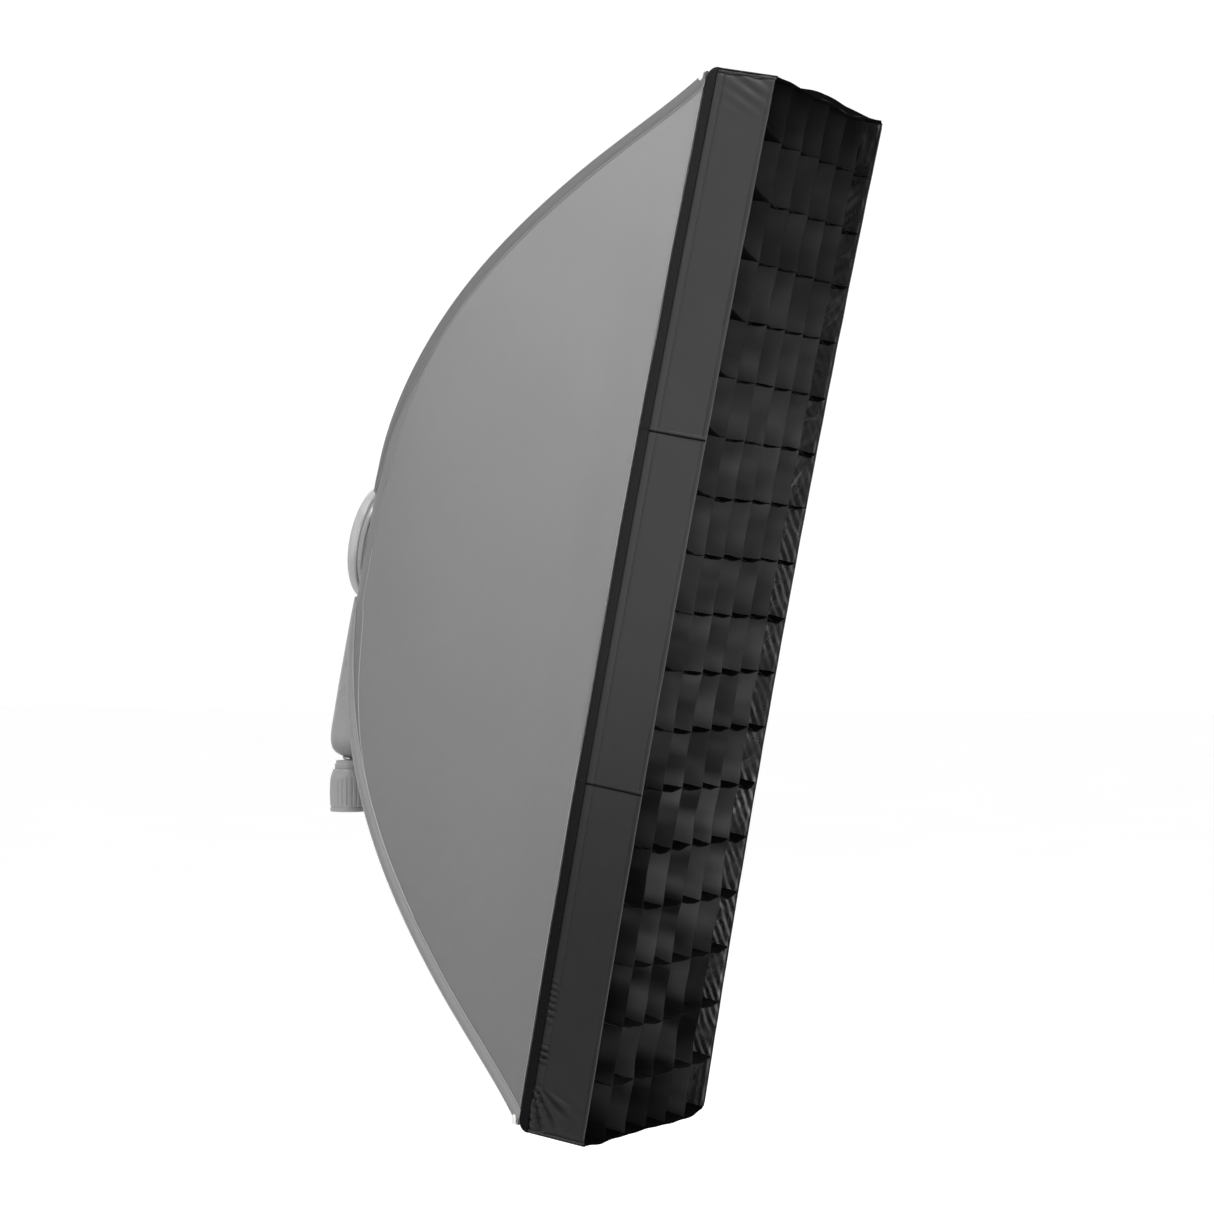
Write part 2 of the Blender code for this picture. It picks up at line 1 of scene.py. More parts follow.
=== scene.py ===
"""Strip softbox with a soft grid on a ball head: the visual model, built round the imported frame.

The softbox is described in its own upright coordinates (u across, v forward, w along the long side), in metres,
and W() turns those into the frame's coordinates. The constants are the ones the CAD uses.
"""
import bpy
import bmesh
import math
import numpy as np
from mathutils import Vector, Matrix


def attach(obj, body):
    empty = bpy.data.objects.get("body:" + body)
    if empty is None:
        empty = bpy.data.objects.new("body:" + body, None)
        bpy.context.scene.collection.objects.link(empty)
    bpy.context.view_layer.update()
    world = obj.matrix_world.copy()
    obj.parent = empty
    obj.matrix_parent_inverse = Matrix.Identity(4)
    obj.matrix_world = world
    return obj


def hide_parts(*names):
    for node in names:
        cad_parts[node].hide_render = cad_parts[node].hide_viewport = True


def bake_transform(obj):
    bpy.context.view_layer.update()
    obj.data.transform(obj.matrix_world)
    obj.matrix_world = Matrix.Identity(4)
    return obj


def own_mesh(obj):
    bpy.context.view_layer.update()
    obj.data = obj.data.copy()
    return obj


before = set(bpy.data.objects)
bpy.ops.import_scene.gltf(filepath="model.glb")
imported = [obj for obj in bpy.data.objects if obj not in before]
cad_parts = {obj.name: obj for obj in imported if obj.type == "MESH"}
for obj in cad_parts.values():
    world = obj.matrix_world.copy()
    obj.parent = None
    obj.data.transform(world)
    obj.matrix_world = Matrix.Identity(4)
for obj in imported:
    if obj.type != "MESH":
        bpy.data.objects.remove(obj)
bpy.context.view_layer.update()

# ------------------------------------------------------------------ dimensions shared with the CAD
HALF_W, HALF_L, DEPTH = 0.150, 0.450, 0.277
HUB_U = HUB_W = 0.0475
GRID_DEPTH = 0.060
TILT = math.radians(10.5)
BALL_Z = 0.0105
BALL_V, BALL_WW = -0.0010, -0.2005
HINGE = (0.036, 0.0140, 0.0520)
V_REAR = 0.0020
PROFILE = (1.737, -2.462, 3.381, -1.656)
RIM_BACK = 0.0130
CT, ST = math.cos(TILT), math.sin(TILT)


def W(p):
    """Softbox coordinates to the frame's."""
    p = np.asarray(p, float)
    v, w = p[..., 1] - BALL_V, p[..., 2] - BALL_WW
    return np.stack([p[..., 0], v * CT + w * ST, -v * ST + w * CT + BALL_Z], -1)


def WN(n):
    n = np.asarray(n, float)
    return np.stack([n[..., 0], n[..., 1] * CT + n[..., 2] * ST, -n[..., 1] * ST + n[..., 2] * CT], -1)


def v_of(b):
    x = (np.asarray(b, float) - HUB_W) / (HALF_L - HUB_W)
    return V_REAR + (DEPTH - V_REAR) * sum(c * x ** (i + 2) for i, c in enumerate(PROFILE))


def a_of(b):
    return HUB_U + (np.asarray(b, float) - HUB_W) / (HALF_L - HUB_W) * (HALF_W - HUB_U)


def bisect(f, lo, hi):
    for _ in range(60):
        mid = (lo + hi) / 2
        if f(mid) < 0:
            lo = mid
        else:
            hi = mid
    return (lo + hi) / 2


def b_at(v):
    return bisect(lambda b: float(v_of(b)) - v, HUB_W, HALF_L)


V_END = DEPTH - 0.0008
B_END = b_at(V_END)
V_RIM = DEPTH - RIM_BACK


def fold_line(b):
    """Where the fabric starts to follow a rod as the box folds: a line from the hinge to the middle of the rim."""
    return HINGE[2] * (DEPTH - v_of(b)) / (DEPTH - HINGE[1])


B_STAR = bisect(lambda b: b - float(fold_line(b)), HUB_W, 0.08) + 0.0006


def smooth(x):
    x = np.clip(x, 0, 1)
    return x * x * (3 - 2 * x)


def bump_at(x, c, s):
    return np.exp(-((x - c) / s) ** 2)


def waves(x, y, seed, size, n=12):
    """A smooth random field of about unit spread; size is the size of its features in metres."""
    r = np.random.default_rng(seed)
    out = 0
    for _ in range(n):
        a, p, k = r.uniform(0, 2 * math.pi), r.uniform(0, 2 * math.pi), 2 * math.pi / size * r.uniform(0.55, 1.5)
        out = out + np.sin(k * (x * math.cos(a) + y * math.sin(a)) + p)
    return out * math.sqrt(2 / n)


def unit(n):
    return n / np.maximum(np.linalg.norm(n, axis=-1, keepdims=True), 1e-12)


# ------------------------------------------------------------------ mesh making
def quads(R, C, wrap=False, wrap_rows=False):
    i = np.arange(R if wrap_rows else R - 1)[:, None]
    j = np.arange(C if wrap else C - 1)[None, :]
    i2, j2 = (i + 1) % R, (j + 1) % C
    return np.stack(np.broadcast_arrays(i * C + j, i * C + j2, i2 * C + j2, i2 * C + j), -1).reshape(-1, 4)


def grid_normals(P, toward=None, wrap=False):
    """Normals of a grid of points; toward is a field they should agree with."""
    if wrap:
        dc = np.roll(P, -1, 1) - np.roll(P, 1, 1)
    else:
        dc = np.gradient(P, axis=1)
    dr = np.gradient(P, axis=0)
    n = unit(np.cross(dr, dc))
    if toward is not None:
        s = np.sign((n * toward).sum(-1).mean())
        n = n * (s if s else 1)
    return n


def shell(P, N, t, wrap=False, keep=None, cloth=None, edge=None, mats=(0, 1, 0)):
    """A closed thin sheet: outer surface P, inner surface P - t N."""
    R, C = P.shape[:2]
    F = quads(R, C, wrap)
    if keep is not None:
        F = F[np.asarray(keep).reshape(-1)]
    p, n = P.reshape(-1, 3), N.reshape(-1, 3)
    t = np.broadcast_to(np.asarray(t, float), (R, C)).reshape(-1, 1)
    e1, e2 = p[F[:, 2]] - p[F[:, 0]], p[F[:, 3]] - p[F[:, 1]]
    if (np.cross(e1, e2) * n[F[:, 0]]).sum() < 0:
        F = F[:, ::-1]
    K = R * C
    a, b = F.reshape(-1), np.roll(F, -1, 1).reshape(-1)
    border = ~np.isin(a.astype(np.int64) * K + b, b.astype(np.int64) * K + a)
    A, B = a[border], b[border]
    faces = np.concatenate([F, F[:, ::-1] + K, np.stack([B, A, A + K, B + K], 1)])
    m = np.concatenate([np.full(len(F), mats[0]), np.full(len(F), mats[1]), np.full(len(A), mats[2])])
    c = np.zeros((K, 3)) if cloth is None else cloth.reshape(-1, 3)
    e = np.full(K, -1.0) if edge is None else np.broadcast_to(edge, (R, C)).reshape(-1)
    part = dict(v=np.concatenate([p, p - n * t]), n=np.concatenate([n, -n]), c=np.concatenate([c, c]),
                e=np.concatenate([e, e]), f=faces, m=m)
    if keep is not None:
        used = np.unique(faces)
        new = np.full(2 * K, -1)
        new[used] = np.arange(len(used))
        for key in "vnce":
            part[key] = part[key][used]
        part["f"] = new[faces]
    return part


def solid(rings, closed=False, mat=0, cloth=None):
    """A lofted solid through closed sections (R, C, 3), capped unless closed."""
    R, C = rings.shape[:2]
    F = quads(R, C, True, closed)
    v = rings.reshape(-1, 3)
    tris = np.zeros((0, 3), int)
    if not closed:
        k = len(v)
        v = np.concatenate([v, rings[0].mean(0)[None], rings[-1].mean(0)[None]])
        j = np.arange(C)
        j2 = (j + 1) % C
        tris = np.concatenate([np.stack([np.full(C, k), j2, j], 1),
                               np.stack([np.full(C, k + 1), (R - 1) * C + j, (R - 1) * C + j2], 1)])
    # the sign of the volume says which way the faces look
    o = v.mean(0)
    q = v - o
    vol = (q[F[:, 0]] * np.cross(q[F[:, 1]], q[F[:, 2]])).sum() + (q[F[:, 0]] * np.cross(q[F[:, 2]], q[F[:, 3]])).sum()
    if len(tris):
        vol += (q[tris[:, 0]] * np.cross(q[tris[:, 1]], q[tris[:, 2]])).sum()
    if vol < 0:
        F, tris = F[:, ::-1], tris[:, ::-1]
    c = np.zeros((len(v), 3))
    if cloth is not None:
        c[:R * C] = cloth.reshape(-1, 3)
    return dict(v=v, f=F, t=tris, m=np.full(len(F) + len(tris), mat), c=c, e=np.full(len(v), -1.0))


def make(name, parts, mats, body, normals=False, sharp=None, weld=None):
    """One object from several parts, riding on a CAD body."""
    v = np.concatenate([p["v"] for p in parts])
    starts = np.cumsum([0] + [len(p["v"]) for p in parts[:-1]])
    faces, mi = [], []
    for p, s in zip(parts, starts):
        faces += (p["f"] + s).tolist()
        if len(p.get("t", ())):
            faces += (p["t"] + s).tolist()
        mi.append(np.broadcast_to(p["m"], (len(p["f"]) + len(p.get("t", ())),)))
    me = bpy.data.meshes.new(name)
    me.from_pydata(v.tolist(), [], faces)
    me.polygons.foreach_set("material_index", np.concatenate(mi).astype(np.int32))
    me.polygons.foreach_set("use_smooth", np.ones(len(me.polygons), bool))
    for m in mats:
        me.materials.append(m)
    c = np.concatenate([p["c"] for p in parts])
    at = me.attributes.new("cloth", "FLOAT_VECTOR", "POINT")
    at.data.foreach_set("vector", c.astype(np.float32).ravel())
    at = me.attributes.new("edge", "FLOAT", "POINT")
    at.data.foreach_set("value", np.concatenate([p["e"] for p in parts]).astype(np.float32))
    me.update()
    if weld:
        bm = bmesh.new()
        bm.from_mesh(me)
        bmesh.ops.remove_doubles(bm, verts=bm.verts, dist=weld)
        bmesh.ops.recalc_face_normals(bm, faces=bm.faces)
        bm.to_mesh(me)
        bm.free()
    if sharp is not None:
        me.set_sharp_from_angle(angle=math.radians(sharp))
    if normals:
        me.normals_split_custom_set_from_vertices(np.concatenate([p["n"] for p in parts]).tolist())
    ob = bpy.data.objects.new(name, me)
    bpy.context.scene.collection.objects.link(ob)
    if body:
        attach(ob, body)
    return ob


def fillet(pts, r, n=5, closed=True):
    """Rounds the corners of a profile; r is one radius or one per point."""
    pts = [np.array(p, float) for p in pts]
    rs = [r] * len(pts) if np.isscalar(r) else list(r)
    out = []
    for i, (p, rad) in enumerate(zip(pts, rs)):
        if (not closed and i in (0, len(pts) - 1)) or rad <= 0:
            out.append(p)
            continue
        a, b = pts[i - 1] - p, pts[(i + 1) % len(pts)] - p
        la, lb = np.linalg.norm(a), np.linalg.norm(b)
        a, b = a / la, b / lb
        ang = math.acos(max(-1, min(1, float(a @ b))))
        if ang > math.pi - 0.05:
            out.append(p)
            continue
        d = min(rad / math.tan(ang / 2), la * 0.45, lb * 0.45)
        p0, p1 = p + a * d, p + b * d
        for k in range(n + 1):
            s = k / n
            out.append((1 - s) ** 2 * p0 + 2 * s * (1 - s) * p + s * s * p1)
    return out


def dense(pts, step, closed=True):
    """More points along a profile's long edges."""
    out = []
    m = len(pts)
    for i in range(m if closed else m - 1):
        a, b = np.array(pts[i], float), np.array(pts[(i + 1) % m], float)
        k = max(1, int(np.linalg.norm(b - a) / step))
        out += [a + (b - a) * s / k for s in range(k)]
    if not closed:
        out.append(np.array(pts[-1], float))
    return out


def lathe(profile, seg=128, axis="v", centre=(0, 0, 0), mat=0, closed=True):
    """Turns (r, h) about v (through the hub) or about w, in softbox coordinates, or about Z in the frame's."""
    pr = np.array(profile)
    a = np.linspace(0, 2 * math.pi, seg, endpoint=False)
    r, h = pr[:, 0][:, None], pr[:, 1][:, None]
    x, y = r * np.cos(a), r * np.sin(a)
    hh = h + 0 * a
    if axis == "v":
        P = W(np.stack([x, hh, y], -1) + np.array(centre))
    elif axis == "w":
        P = W(np.stack([x, y, hh], -1) + np.array(centre))
    else:
        P = np.stack([x, y, hh], -1) + np.array(centre)
    if closed:
        return solid(P, closed=True, mat=mat)
    R, C = P.shape[:2]
    part = solid(P, closed=False, mat=mat)
    return part


def frames_along(P):
    """Tangents and a steady side direction along a polyline."""
    t = unit(np.gradient(P, axis=0))
    side = np.cross(t[0], [0.0, 0.0, 1.0])
    if np.linalg.norm(side) < 0.2:
        side = np.cross(t[0], [0.0, 1.0, 0.0])
    side = side / np.linalg.norm(side)
    out = [side]
    for k in range(1, len(P)):
        s = out[-1] - t[k] * (out[-1] @ t[k])
        out.append(s / np.linalg.norm(s))
    s = np.array(out)
    return t, s, np.cross(t, s)


def tube(P, r, sides=8, mat=0, loop=False):
    """A round tube along points in the frame's coordinates."""
    P = np.asarray(P, float)
    r = np.broadcast_to(np.asarray(r, float), (len(P),))
    if loop:
        t = unit(np.roll(P, -1, 0) - np.roll(P, 1, 0))
        s = np.cross(t, WN(np.array([0.0, 1.0, 0.0])))
        s = unit(s)
        q = np.cross(t, s)
    else:
        t, s, q = frames_along(P)
    a = np.linspace(0, 2 * math.pi, sides, endpoint=False)
    rings = P[:, None] + (s[:, None] * np.cos(a)[None, :, None] + q[:, None] * np.sin(a)[None, :, None]) * r[:, None, None]
    L = np.concatenate([[0], np.cumsum(np.linalg.norm(np.diff(P, axis=0), axis=1))])
    cloth = np.stack(np.broadcast_arrays(L[:, None], (a * r.mean())[None, :], 0 * a[None, :]), -1)
    return solid(rings, closed=loop, mat=mat, cloth=cloth)


def stitches(P, N, pitch=0.0030, length=0.0021, r=0.00026, mat=0, lift=0.0):
    """A row of small thread stitches along a polyline P (frame coordinates) with surface normals N."""
    P, N = np.asarray(P, float), np.asarray(N, float)
    L = np.concatenate([[0], np.cumsum(np.linalg.norm(np.diff(P, axis=0), axis=1))])
    n = max(1, int(L[-1] / pitch))
    at = (np.arange(n) + 0.5) * pitch
    c = np.stack([np.interp(at, L, P[:, k]) for k in range(3)], -1)
    nn = unit(np.stack([np.interp(at, L, N[:, k]) for k in range(3)], -1))
    c2 = np.stack([np.interp(at + 1e-4, L, P[:, k]) for k in range(3)], -1)
    c1 = np.stack([np.interp(at - 1e-4, L, P[:, k]) for k in range(3)], -1)
    t = unit(c2 - c1)
    nn = unit(nn - t * (nn * t).sum(-1, keepdims=True))
    s = np.cross(t, nn)
    x = np.array([-1, -0.82, -0.4, 0.4, 0.82, 1.0]) * length / 2
    rad = np.array([0.15, 0.75, 1.0, 1.0, 0.75, 0.15]) * r
    dip = np.array([-1.0, -0.3, 0.25, 0.25, -0.3, -1.0]) * r
    a = np.linspace(0, 2 * math.pi, 6, endpoint=False)
    V = (c[:, None, None] + t[:, None, None] * x[None, :, None, None]
         + nn[:, None, None] * (dip[None, :, None, None] + lift + rad[None, :, None, None] * np.sin(a)[None, None, :, None])
         + s[:, None, None] * rad[None, :, None, None] * np.cos(a)[None, None, :, None])
    base = quads(6, 6, True)
    k = np.arange(n)[:, None, None] * 36
    F = (base[None] + k).reshape(-1, 4)
    cap0 = np.array([[3, 2, 1, 0], [5, 4, 3, 0]])
    cap1 = np.array([[30, 31, 32, 33], [30, 33, 34, 35]])
    caps = (np.concatenate([cap0, cap1])[None] + k).reshape(-1, 4)
    v = V.reshape(-1, 3)
    q = v[F[:36]] - v[:36].mean(0)
    vol = (q[:, 0] * np.cross(q[:, 1], q[:, 2])).sum()
    faces = np.concatenate([F, caps])
    if vol < 0:
        faces = faces[:, ::-1]
    cl = np.zeros((len(v), 3))
    cl[:, 0] = np.repeat(np.arange(n) * 0.37, 36)
    return dict(v=v, f=faces, m=np.full(len(faces), mat), c=cl, e=np.zeros(len(v)))


def applied(ob):
    """Applies an object's modifiers."""
    bpy.context.view_layer.update()
    me = bpy.data.meshes.new_from_object(ob.evaluated_get(bpy.context.evaluated_depsgraph_get()))
    ob.modifiers.clear()
    ob.data = me
    return ob


def part_object(name, parts, weld=None):
    return make(name, parts, [], None, weld=weld)


# ------------------------------------------------------------------ materials
def lin(*c):
    if len(c) == 1:
        c = c * 3
    f = [(x / 255 / 12.92) if x <= 10.3 else ((x / 255 + 0.055) / 1.055) ** 2.4 for x in c]
    return (f[0], f[1], f[2], 1.0)


class Mat:
    def __init__(self, name):
        self.m = bpy.data.materials.new(name)
        self.m.use_nodes = True
        self.t = self.m.node_tree
        self.b = self.t.nodes["Principled BSDF"]

    def node(self, kind, **props):
        n = self.t.nodes.new(kind)
        for k, x in props.items():
            setattr(n, k, x)
        return n

    def link(self, a, b):
        self.t.links.new(a, b)

    def attr(self, name):
        n = self.node("ShaderNodeAttribute")
        n.attribute_name = name
        return n

    def coords(self, where):
        if where == "cloth":
            return self.attr("cloth").outputs["Vector"]
        return self.node("ShaderNodeTexCoord").outputs["Object"]

    def noise(self, vec, scale, detail=3.0, rough=0.5):
        n = self.node("ShaderNodeTexNoise")
        n.inputs["Scale"].default_value = scale
        n.inputs["Detail"].default_value = detail
        n.inputs["Roughness"].default_value = rough
        self.link(vec, n.inputs["Vector"])
        return n.outputs["Fac"]

    def wave(self, vec, pitch, direction):
        n = self.node("ShaderNodeTexWave", wave_type="BANDS", bands_direction=direction, wave_profile="SIN")
        n.inputs["Scale"].default_value = 0.31416 / pitch
        self.link(vec, n.inputs["Vector"])
        return n.outputs["Fac"]

    def math(self, op, a, b=None, clamp=False):
        n = self.node("ShaderNodeMath", operation=op, use_clamp=clamp)
        for s, x in zip(n.inputs, (a, b)):
            if x is None:
                continue
            if isinstance(x, (int, float)):
                s.default_value = x
            else:
                self.link(x, s)
        return n.outputs[0]

    def remap(self, x, a, b, c, d):
        n = self.node("ShaderNodeMapRange")
        n.inputs["From Min"].default_value, n.inputs["From Max"].default_value = a, b
        n.inputs["To Min"].default_value, n.inputs["To Max"].default_value = c, d
        self.link(x, n.inputs["Value"])
        return n.outputs["Result"]

    def mix(self, fac, a, b, blend="MIX"):
        n = self.node("ShaderNodeMix", data_type="RGBA", blend_type=blend)
        for s, x in ((n.inputs[0], fac), (n.inputs[6], a), (n.inputs[7], b)):
            if isinstance(x, (int, float)):
                s.default_value = x
            elif isinstance(x, tuple):
                s.default_value = x
            else:
                self.link(x, s)
        return n.outputs[2]

    def bump(self, height, distance, normal=None, strength=1.0):
        n = self.node("ShaderNodeBump")
        n.inputs["Strength"].default_value = strength
        n.inputs["Distance"].default_value = distance
        self.link(height, n.inputs["Height"])
        if normal is not None:
            self.link(normal, n.inputs["Normal"])
        return n.outputs["Normal"]

    def set(self, **k):
        names = {"rough": "Roughness", "metal": "Metallic", "spec": "Specular IOR Level", "sheen": "Sheen Weight",
                 "sheen_rough": "Sheen Roughness", "coat": "Coat Weight", "coat_rough": "Coat Roughness",
                 "aniso": "Anisotropic", "sub": "Subsurface Weight", "sub_scale": "Subsurface Scale", "trans": "Transmission Weight"}
        for key, x in k.items():
            self.b.inputs[names[key]].default_value = x


def scaled(c, k):
    return (min(c[0] * k, 1), min(c[1] * k, 1), min(c[2] * k, 1), 1.0)


def paint_light_by_height(m, col, steps):
    """Painted light and shade: colour multiplied by smooth steps in height; each step is (z low, z high, factor low,
    factor high).
    """
    sep = m.node("ShaderNodeSeparateXYZ")
    m.link(m.node("ShaderNodeTexCoord").outputs["Object"], sep.inputs[0])
    for z0, z1, k0, k1 in ([steps] if not isinstance(steps[0], tuple) else steps):
        g = m.remap(sep.outputs[2], z0, z1, 0.0, 1.0)
        g.node.interpolation_type = "SMOOTHSTEP"
        col = m.mix(1.0, col, m.mix(g, (k0, k0, k0, 1.0), (k1, k1, k1, 1.0)), "MULTIPLY")
    return col


def fabric(name, colour, rough=0.7, pitch=0.0006, weave=0.00003, crease=0.0, crease_scale=40, vary=0.05, fibre=0.00001,
           spec=0.3, sheen=0.0, sheen_rough=0.4, edge_colour=None, where="cloth", contrast=0.10, gradient=None, painted_light_patches=None, band=None, painted_satin_streaks=None):
    """Woven cloth: two crossing sets of threads, fibres, slow creases and a colour that drifts a little."""
    m = Mat(name)
    co = m.coords(where)
    wx, wy = m.wave(co, pitch, "X"), m.wave(co, pitch, "Y")
    threads = m.math("MAXIMUM", wx, wy)
    fine = m.noise(co, 0.9 / pitch * 0.6, 2.0, 0.6)
    slow = m.noise(co, 9.0, 3.0, 0.55)
    mid = m.noise(co, 75.0, 3.0, 0.55)
    col = m.mix(m.remap(slow, 0.32, 0.68, 0.0, 1.0), scaled(colour, 1 - vary), scaled(colour, 1 + vary))
    col = m.mix(m.remap(mid, 0.35, 0.65, 0.0, 0.5), col, scaled(colour, 1 - vary * 0.5))
    col = m.mix(m.remap(threads, 0.25, 1.0, contrast, 0.0), col, scaled(colour, 0.25))
    col = m.mix(m.remap(fine, 0.35, 0.65, 0.0, contrast * 0.7), col, scaled(colour, 0.45))
    if band is not None:   # a doubled strip: the "edge" attribute is its signed width, in centimetres
        inside = m.remap(m.attr("edge").outputs["Fac"], -0.03, 0.03, 0.0, 1.0)
        col = m.mix(inside, col, m.mix(m.remap(threads, 0.25, 1.0, contrast, 0.0), band, scaled(band, 0.25)))
    if painted_light_patches is not None:   # (size, darkest, lightest, z low, z high): painted light and shade in patches, as slack cloth catches the light
        size, k0, k1, z0, z1 = painted_light_patches
        wide = m.node("ShaderNodeMapping")
        wide.inputs["Scale"].default_value = (1.0, 0.18, 6.0)   # each patch runs across the strip, and every strip has its own
        m.link(co, wide.inputs["Vector"])
        patch = m.remap(m.noise(wide.outputs["Vector"], 1 / size, 1.0, 0.5), 0.36, 0.64, k0, k1)
        sep = m.node("ShaderNodeSeparateXYZ")
        m.link(m.node("ShaderNodeTexCoord").outputs["Object"], sep.inputs[0])
        share = m.remap(sep.outputs[2], z0, z1, 1.0, 0.36)
        mono = m.node("ShaderNodeCombineXYZ")
        for k in range(3):
            m.link(patch, mono.inputs[k])
        col = m.mix(1.0, col, m.mix(share, (1.0, 1.0, 1.0, 1.0), mono.outputs[0]), "MULTIPLY")
    if painted_satin_streaks is not None:   # (pitch, angle, dark factor, light factor, z low, z high): painted highlights and shade of slack satin creases, dark and shining side by side
        pitch_, angle, k0, k1, z0, z1 = painted_satin_streaks
        mp = m.node("ShaderNodeMapping")
        mp.inputs["Rotation"].default_value = (0, 0, angle)
        mp.inputs["Scale"].default_value = (1.0, 1.0, 1.0)
        m.link(co, mp.inputs["Vector"])
        bands = m.wave(mp.outputs["Vector"], pitch_, "X")
        bands.node.inputs["Distortion"].default_value = 2.6
        bands.node.inputs["Detail"].default_value = 1.0
        bands.node.inputs["Detail Scale"].default_value = 0.8
        lit = m.remap(bands, 0.45, 0.92, k0, k1)
        sep = m.node("ShaderNodeSeparateXYZ")
        m.link(m.node("ShaderNodeTexCoord").outputs["Object"], sep.inputs[0])
        share = m.math("MULTIPLY", m.remap(sep.outputs[2], z0, z1, 1.0, 0.10), m.remap(m.noise(co, 26.0, 1.5), 0.40, 0.56, 0.15, 1.0))
        mono = m.node("ShaderNodeCombineXYZ")
        for k in range(3):
            m.link(lit, mono.inputs[k])
        col = m.mix(1.0, col, m.mix(share, (1.0, 1.0, 1.0, 1.0), mono.outputs[0]), "MULTIPLY")
    if gradient is not None:
        col = paint_light_by_height(m, col, gradient)
    if edge_colour is not None:
        # the marked edge takes edge_colour: a painted highlight on the skirt's front hem and the cross strips' front
        # edges
        e = m.math("MAXIMUM", m.attr("edge").outputs["Fac"], 0.0)
        edge_highlight = m.math("MULTIPLY", e, m.remap(m.noise(co, 420.0, 2.0), 0.3, 0.7, 0.55, 1.0))
        col = m.mix(edge_highlight, col, edge_colour)
    m.link(col, m.b.inputs["Base Color"])
    m.link(m.remap(mid, 0.3, 0.7, rough - 0.05, rough + 0.05), m.b.inputs["Roughness"])
    n = None
    if crease:
        cr = m.noise(co, crease_scale, 2.0, 0.45)
        n = m.bump(cr, crease)
    n = m.bump(threads, weave, n)
    if fibre:
        n = m.bump(fine, fibre, n)
    m.link(n, m.b.inputs["Normal"])
    m.set(spec=spec, sheen=sheen, sheen_rough=sheen_rough)
    return m.m


def plastic(name, colour, rough=0.4, grain=0.00002, grain_scale=1400, vary=0.05, spec=0.45, wear=None, coat=0.0, slowscale=24.0, gradient=None):
    """Moulded plastic: a fine spark texture, a colour that drifts, rubbed edges."""
    m = Mat(name)
    co = m.coords("object")
    slow = m.noise(co, slowscale, 3.0)
    col = m.mix(m.remap(slow, 0.3, 0.7, 0.0, 1.0), scaled(colour, 1 - vary), scaled(colour, 1 + vary))
    speck = m.noise(co, 900.0, 2.0, 0.6)
    col = m.mix(m.remap(speck, 0.45, 0.75, 0.0, 0.18), col, scaled(colour, 1.35))
    if wear is not None:
        pt = m.node("ShaderNodeNewGeometry").outputs["Pointiness"]
        rub = m.math("MULTIPLY", m.remap(pt, 0.52, 0.60, 0.0, 1.0), m.remap(m.noise(co, 160.0, 3.0), 0.35, 0.65, 0.2, 1.0))
        col = m.mix(rub, col, wear)
        # darker in the hollows: painted shade
        hollow_shade = m.remap(pt, 0.47, 0.42, 0.0, 0.35)
        col = m.mix(hollow_shade, col, scaled(colour, 0.55))
    if gradient is not None:
        col = paint_light_by_height(m, col, gradient)
    m.link(col, m.b.inputs["Base Color"])
    m.link(m.remap(m.noise(co, 60.0, 3.0), 0.3, 0.7, rough - 0.05, rough + 0.06), m.b.inputs["Roughness"])
    n = m.bump(m.noise(co, grain_scale, 2.0, 0.6), grain)
    m.link(n, m.b.inputs["Normal"])
    m.set(spec=spec)
    if coat:
        m.set(coat=coat, coat_rough=0.25)
    return m.m


def metal(name, colour, rough=0.3, brushed=0.000006, scale=(600, 600, 60), wear=0.0):
    """Turned or drawn metal with fine tool lines and smudges."""
    m = Mat(name)
    co = m.coords("object")
    mp = m.node("ShaderNodeMapping")
    mp.inputs["Scale"].default_value = scale
    m.link(co, mp.inputs["Vector"])
    lines = m.noise(mp.outputs["Vector"], 4.0, 3.0, 0.6)
    smudge = m.noise(co, 120.0, 3.0)
    m.link(m.mix(m.remap(smudge, 0.3, 0.7, 0.0, 1.0), scaled(colour, 0.88), scaled(colour, 1.05)), m.b.inputs["Base Color"])
    m.link(m.remap(lines, 0.3, 0.7, rough - 0.06, rough + 0.09), m.b.inputs["Roughness"])
    m.link(m.bump(lines, brushed), m.b.inputs["Normal"])
    m.set(metal=1.0)
    return m.m


def nap(name, colour, rough=0.95, scale=2600, height=0.0006, vary=0.25, spec=0.15, sheen=0.0, where="cloth", gradient=None):
    """Loop tape: a mat of short curled fibres."""
    m = Mat(name)
    co = m.coords(where)
    a, b = m.noise(co, scale, 4.0, 0.7), m.noise(co, scale * 0.33, 3.0, 0.6)
    h = m.math("ADD", m.math("MULTIPLY", a, 0.5), m.math("MULTIPLY", b, 0.6))
    col = m.mix(m.remap(h, 0.38, 0.70, 0.0, 1.0), scaled(colour, 1 - vary), scaled(colour, 1 + vary))
    if gradient is not None:
        col = paint_light_by_height(m, col, gradient)
    m.link(col, m.b.inputs["Base Color"])
    m.link(m.remap(b, 0.3, 0.7, rough - 0.08, min(rough + 0.04, 1.0)), m.b.inputs["Roughness"])
    m.link(m.bump(h, height), m.b.inputs["Normal"])
    m.set(spec=spec, sheen=sheen)
    return m.m


SHELL = lin(117, 117, 118)   # cloth faded to a plain grey
# the shell cloth is lighter towards the top and darker towards the bottom: painted light and shade
M_SHELL = fabric("shell_cloth", SHELL, rough=0.62, pitch=0.0007, weave=0.000022, crease=0.0004, crease_scale=26, vary=0.02,
                 spec=0.35, sheen=0.08, contrast=0.07, gradient=(-0.30, 0.90, 0.76, 1.28), band=lin(111, 111, 112))
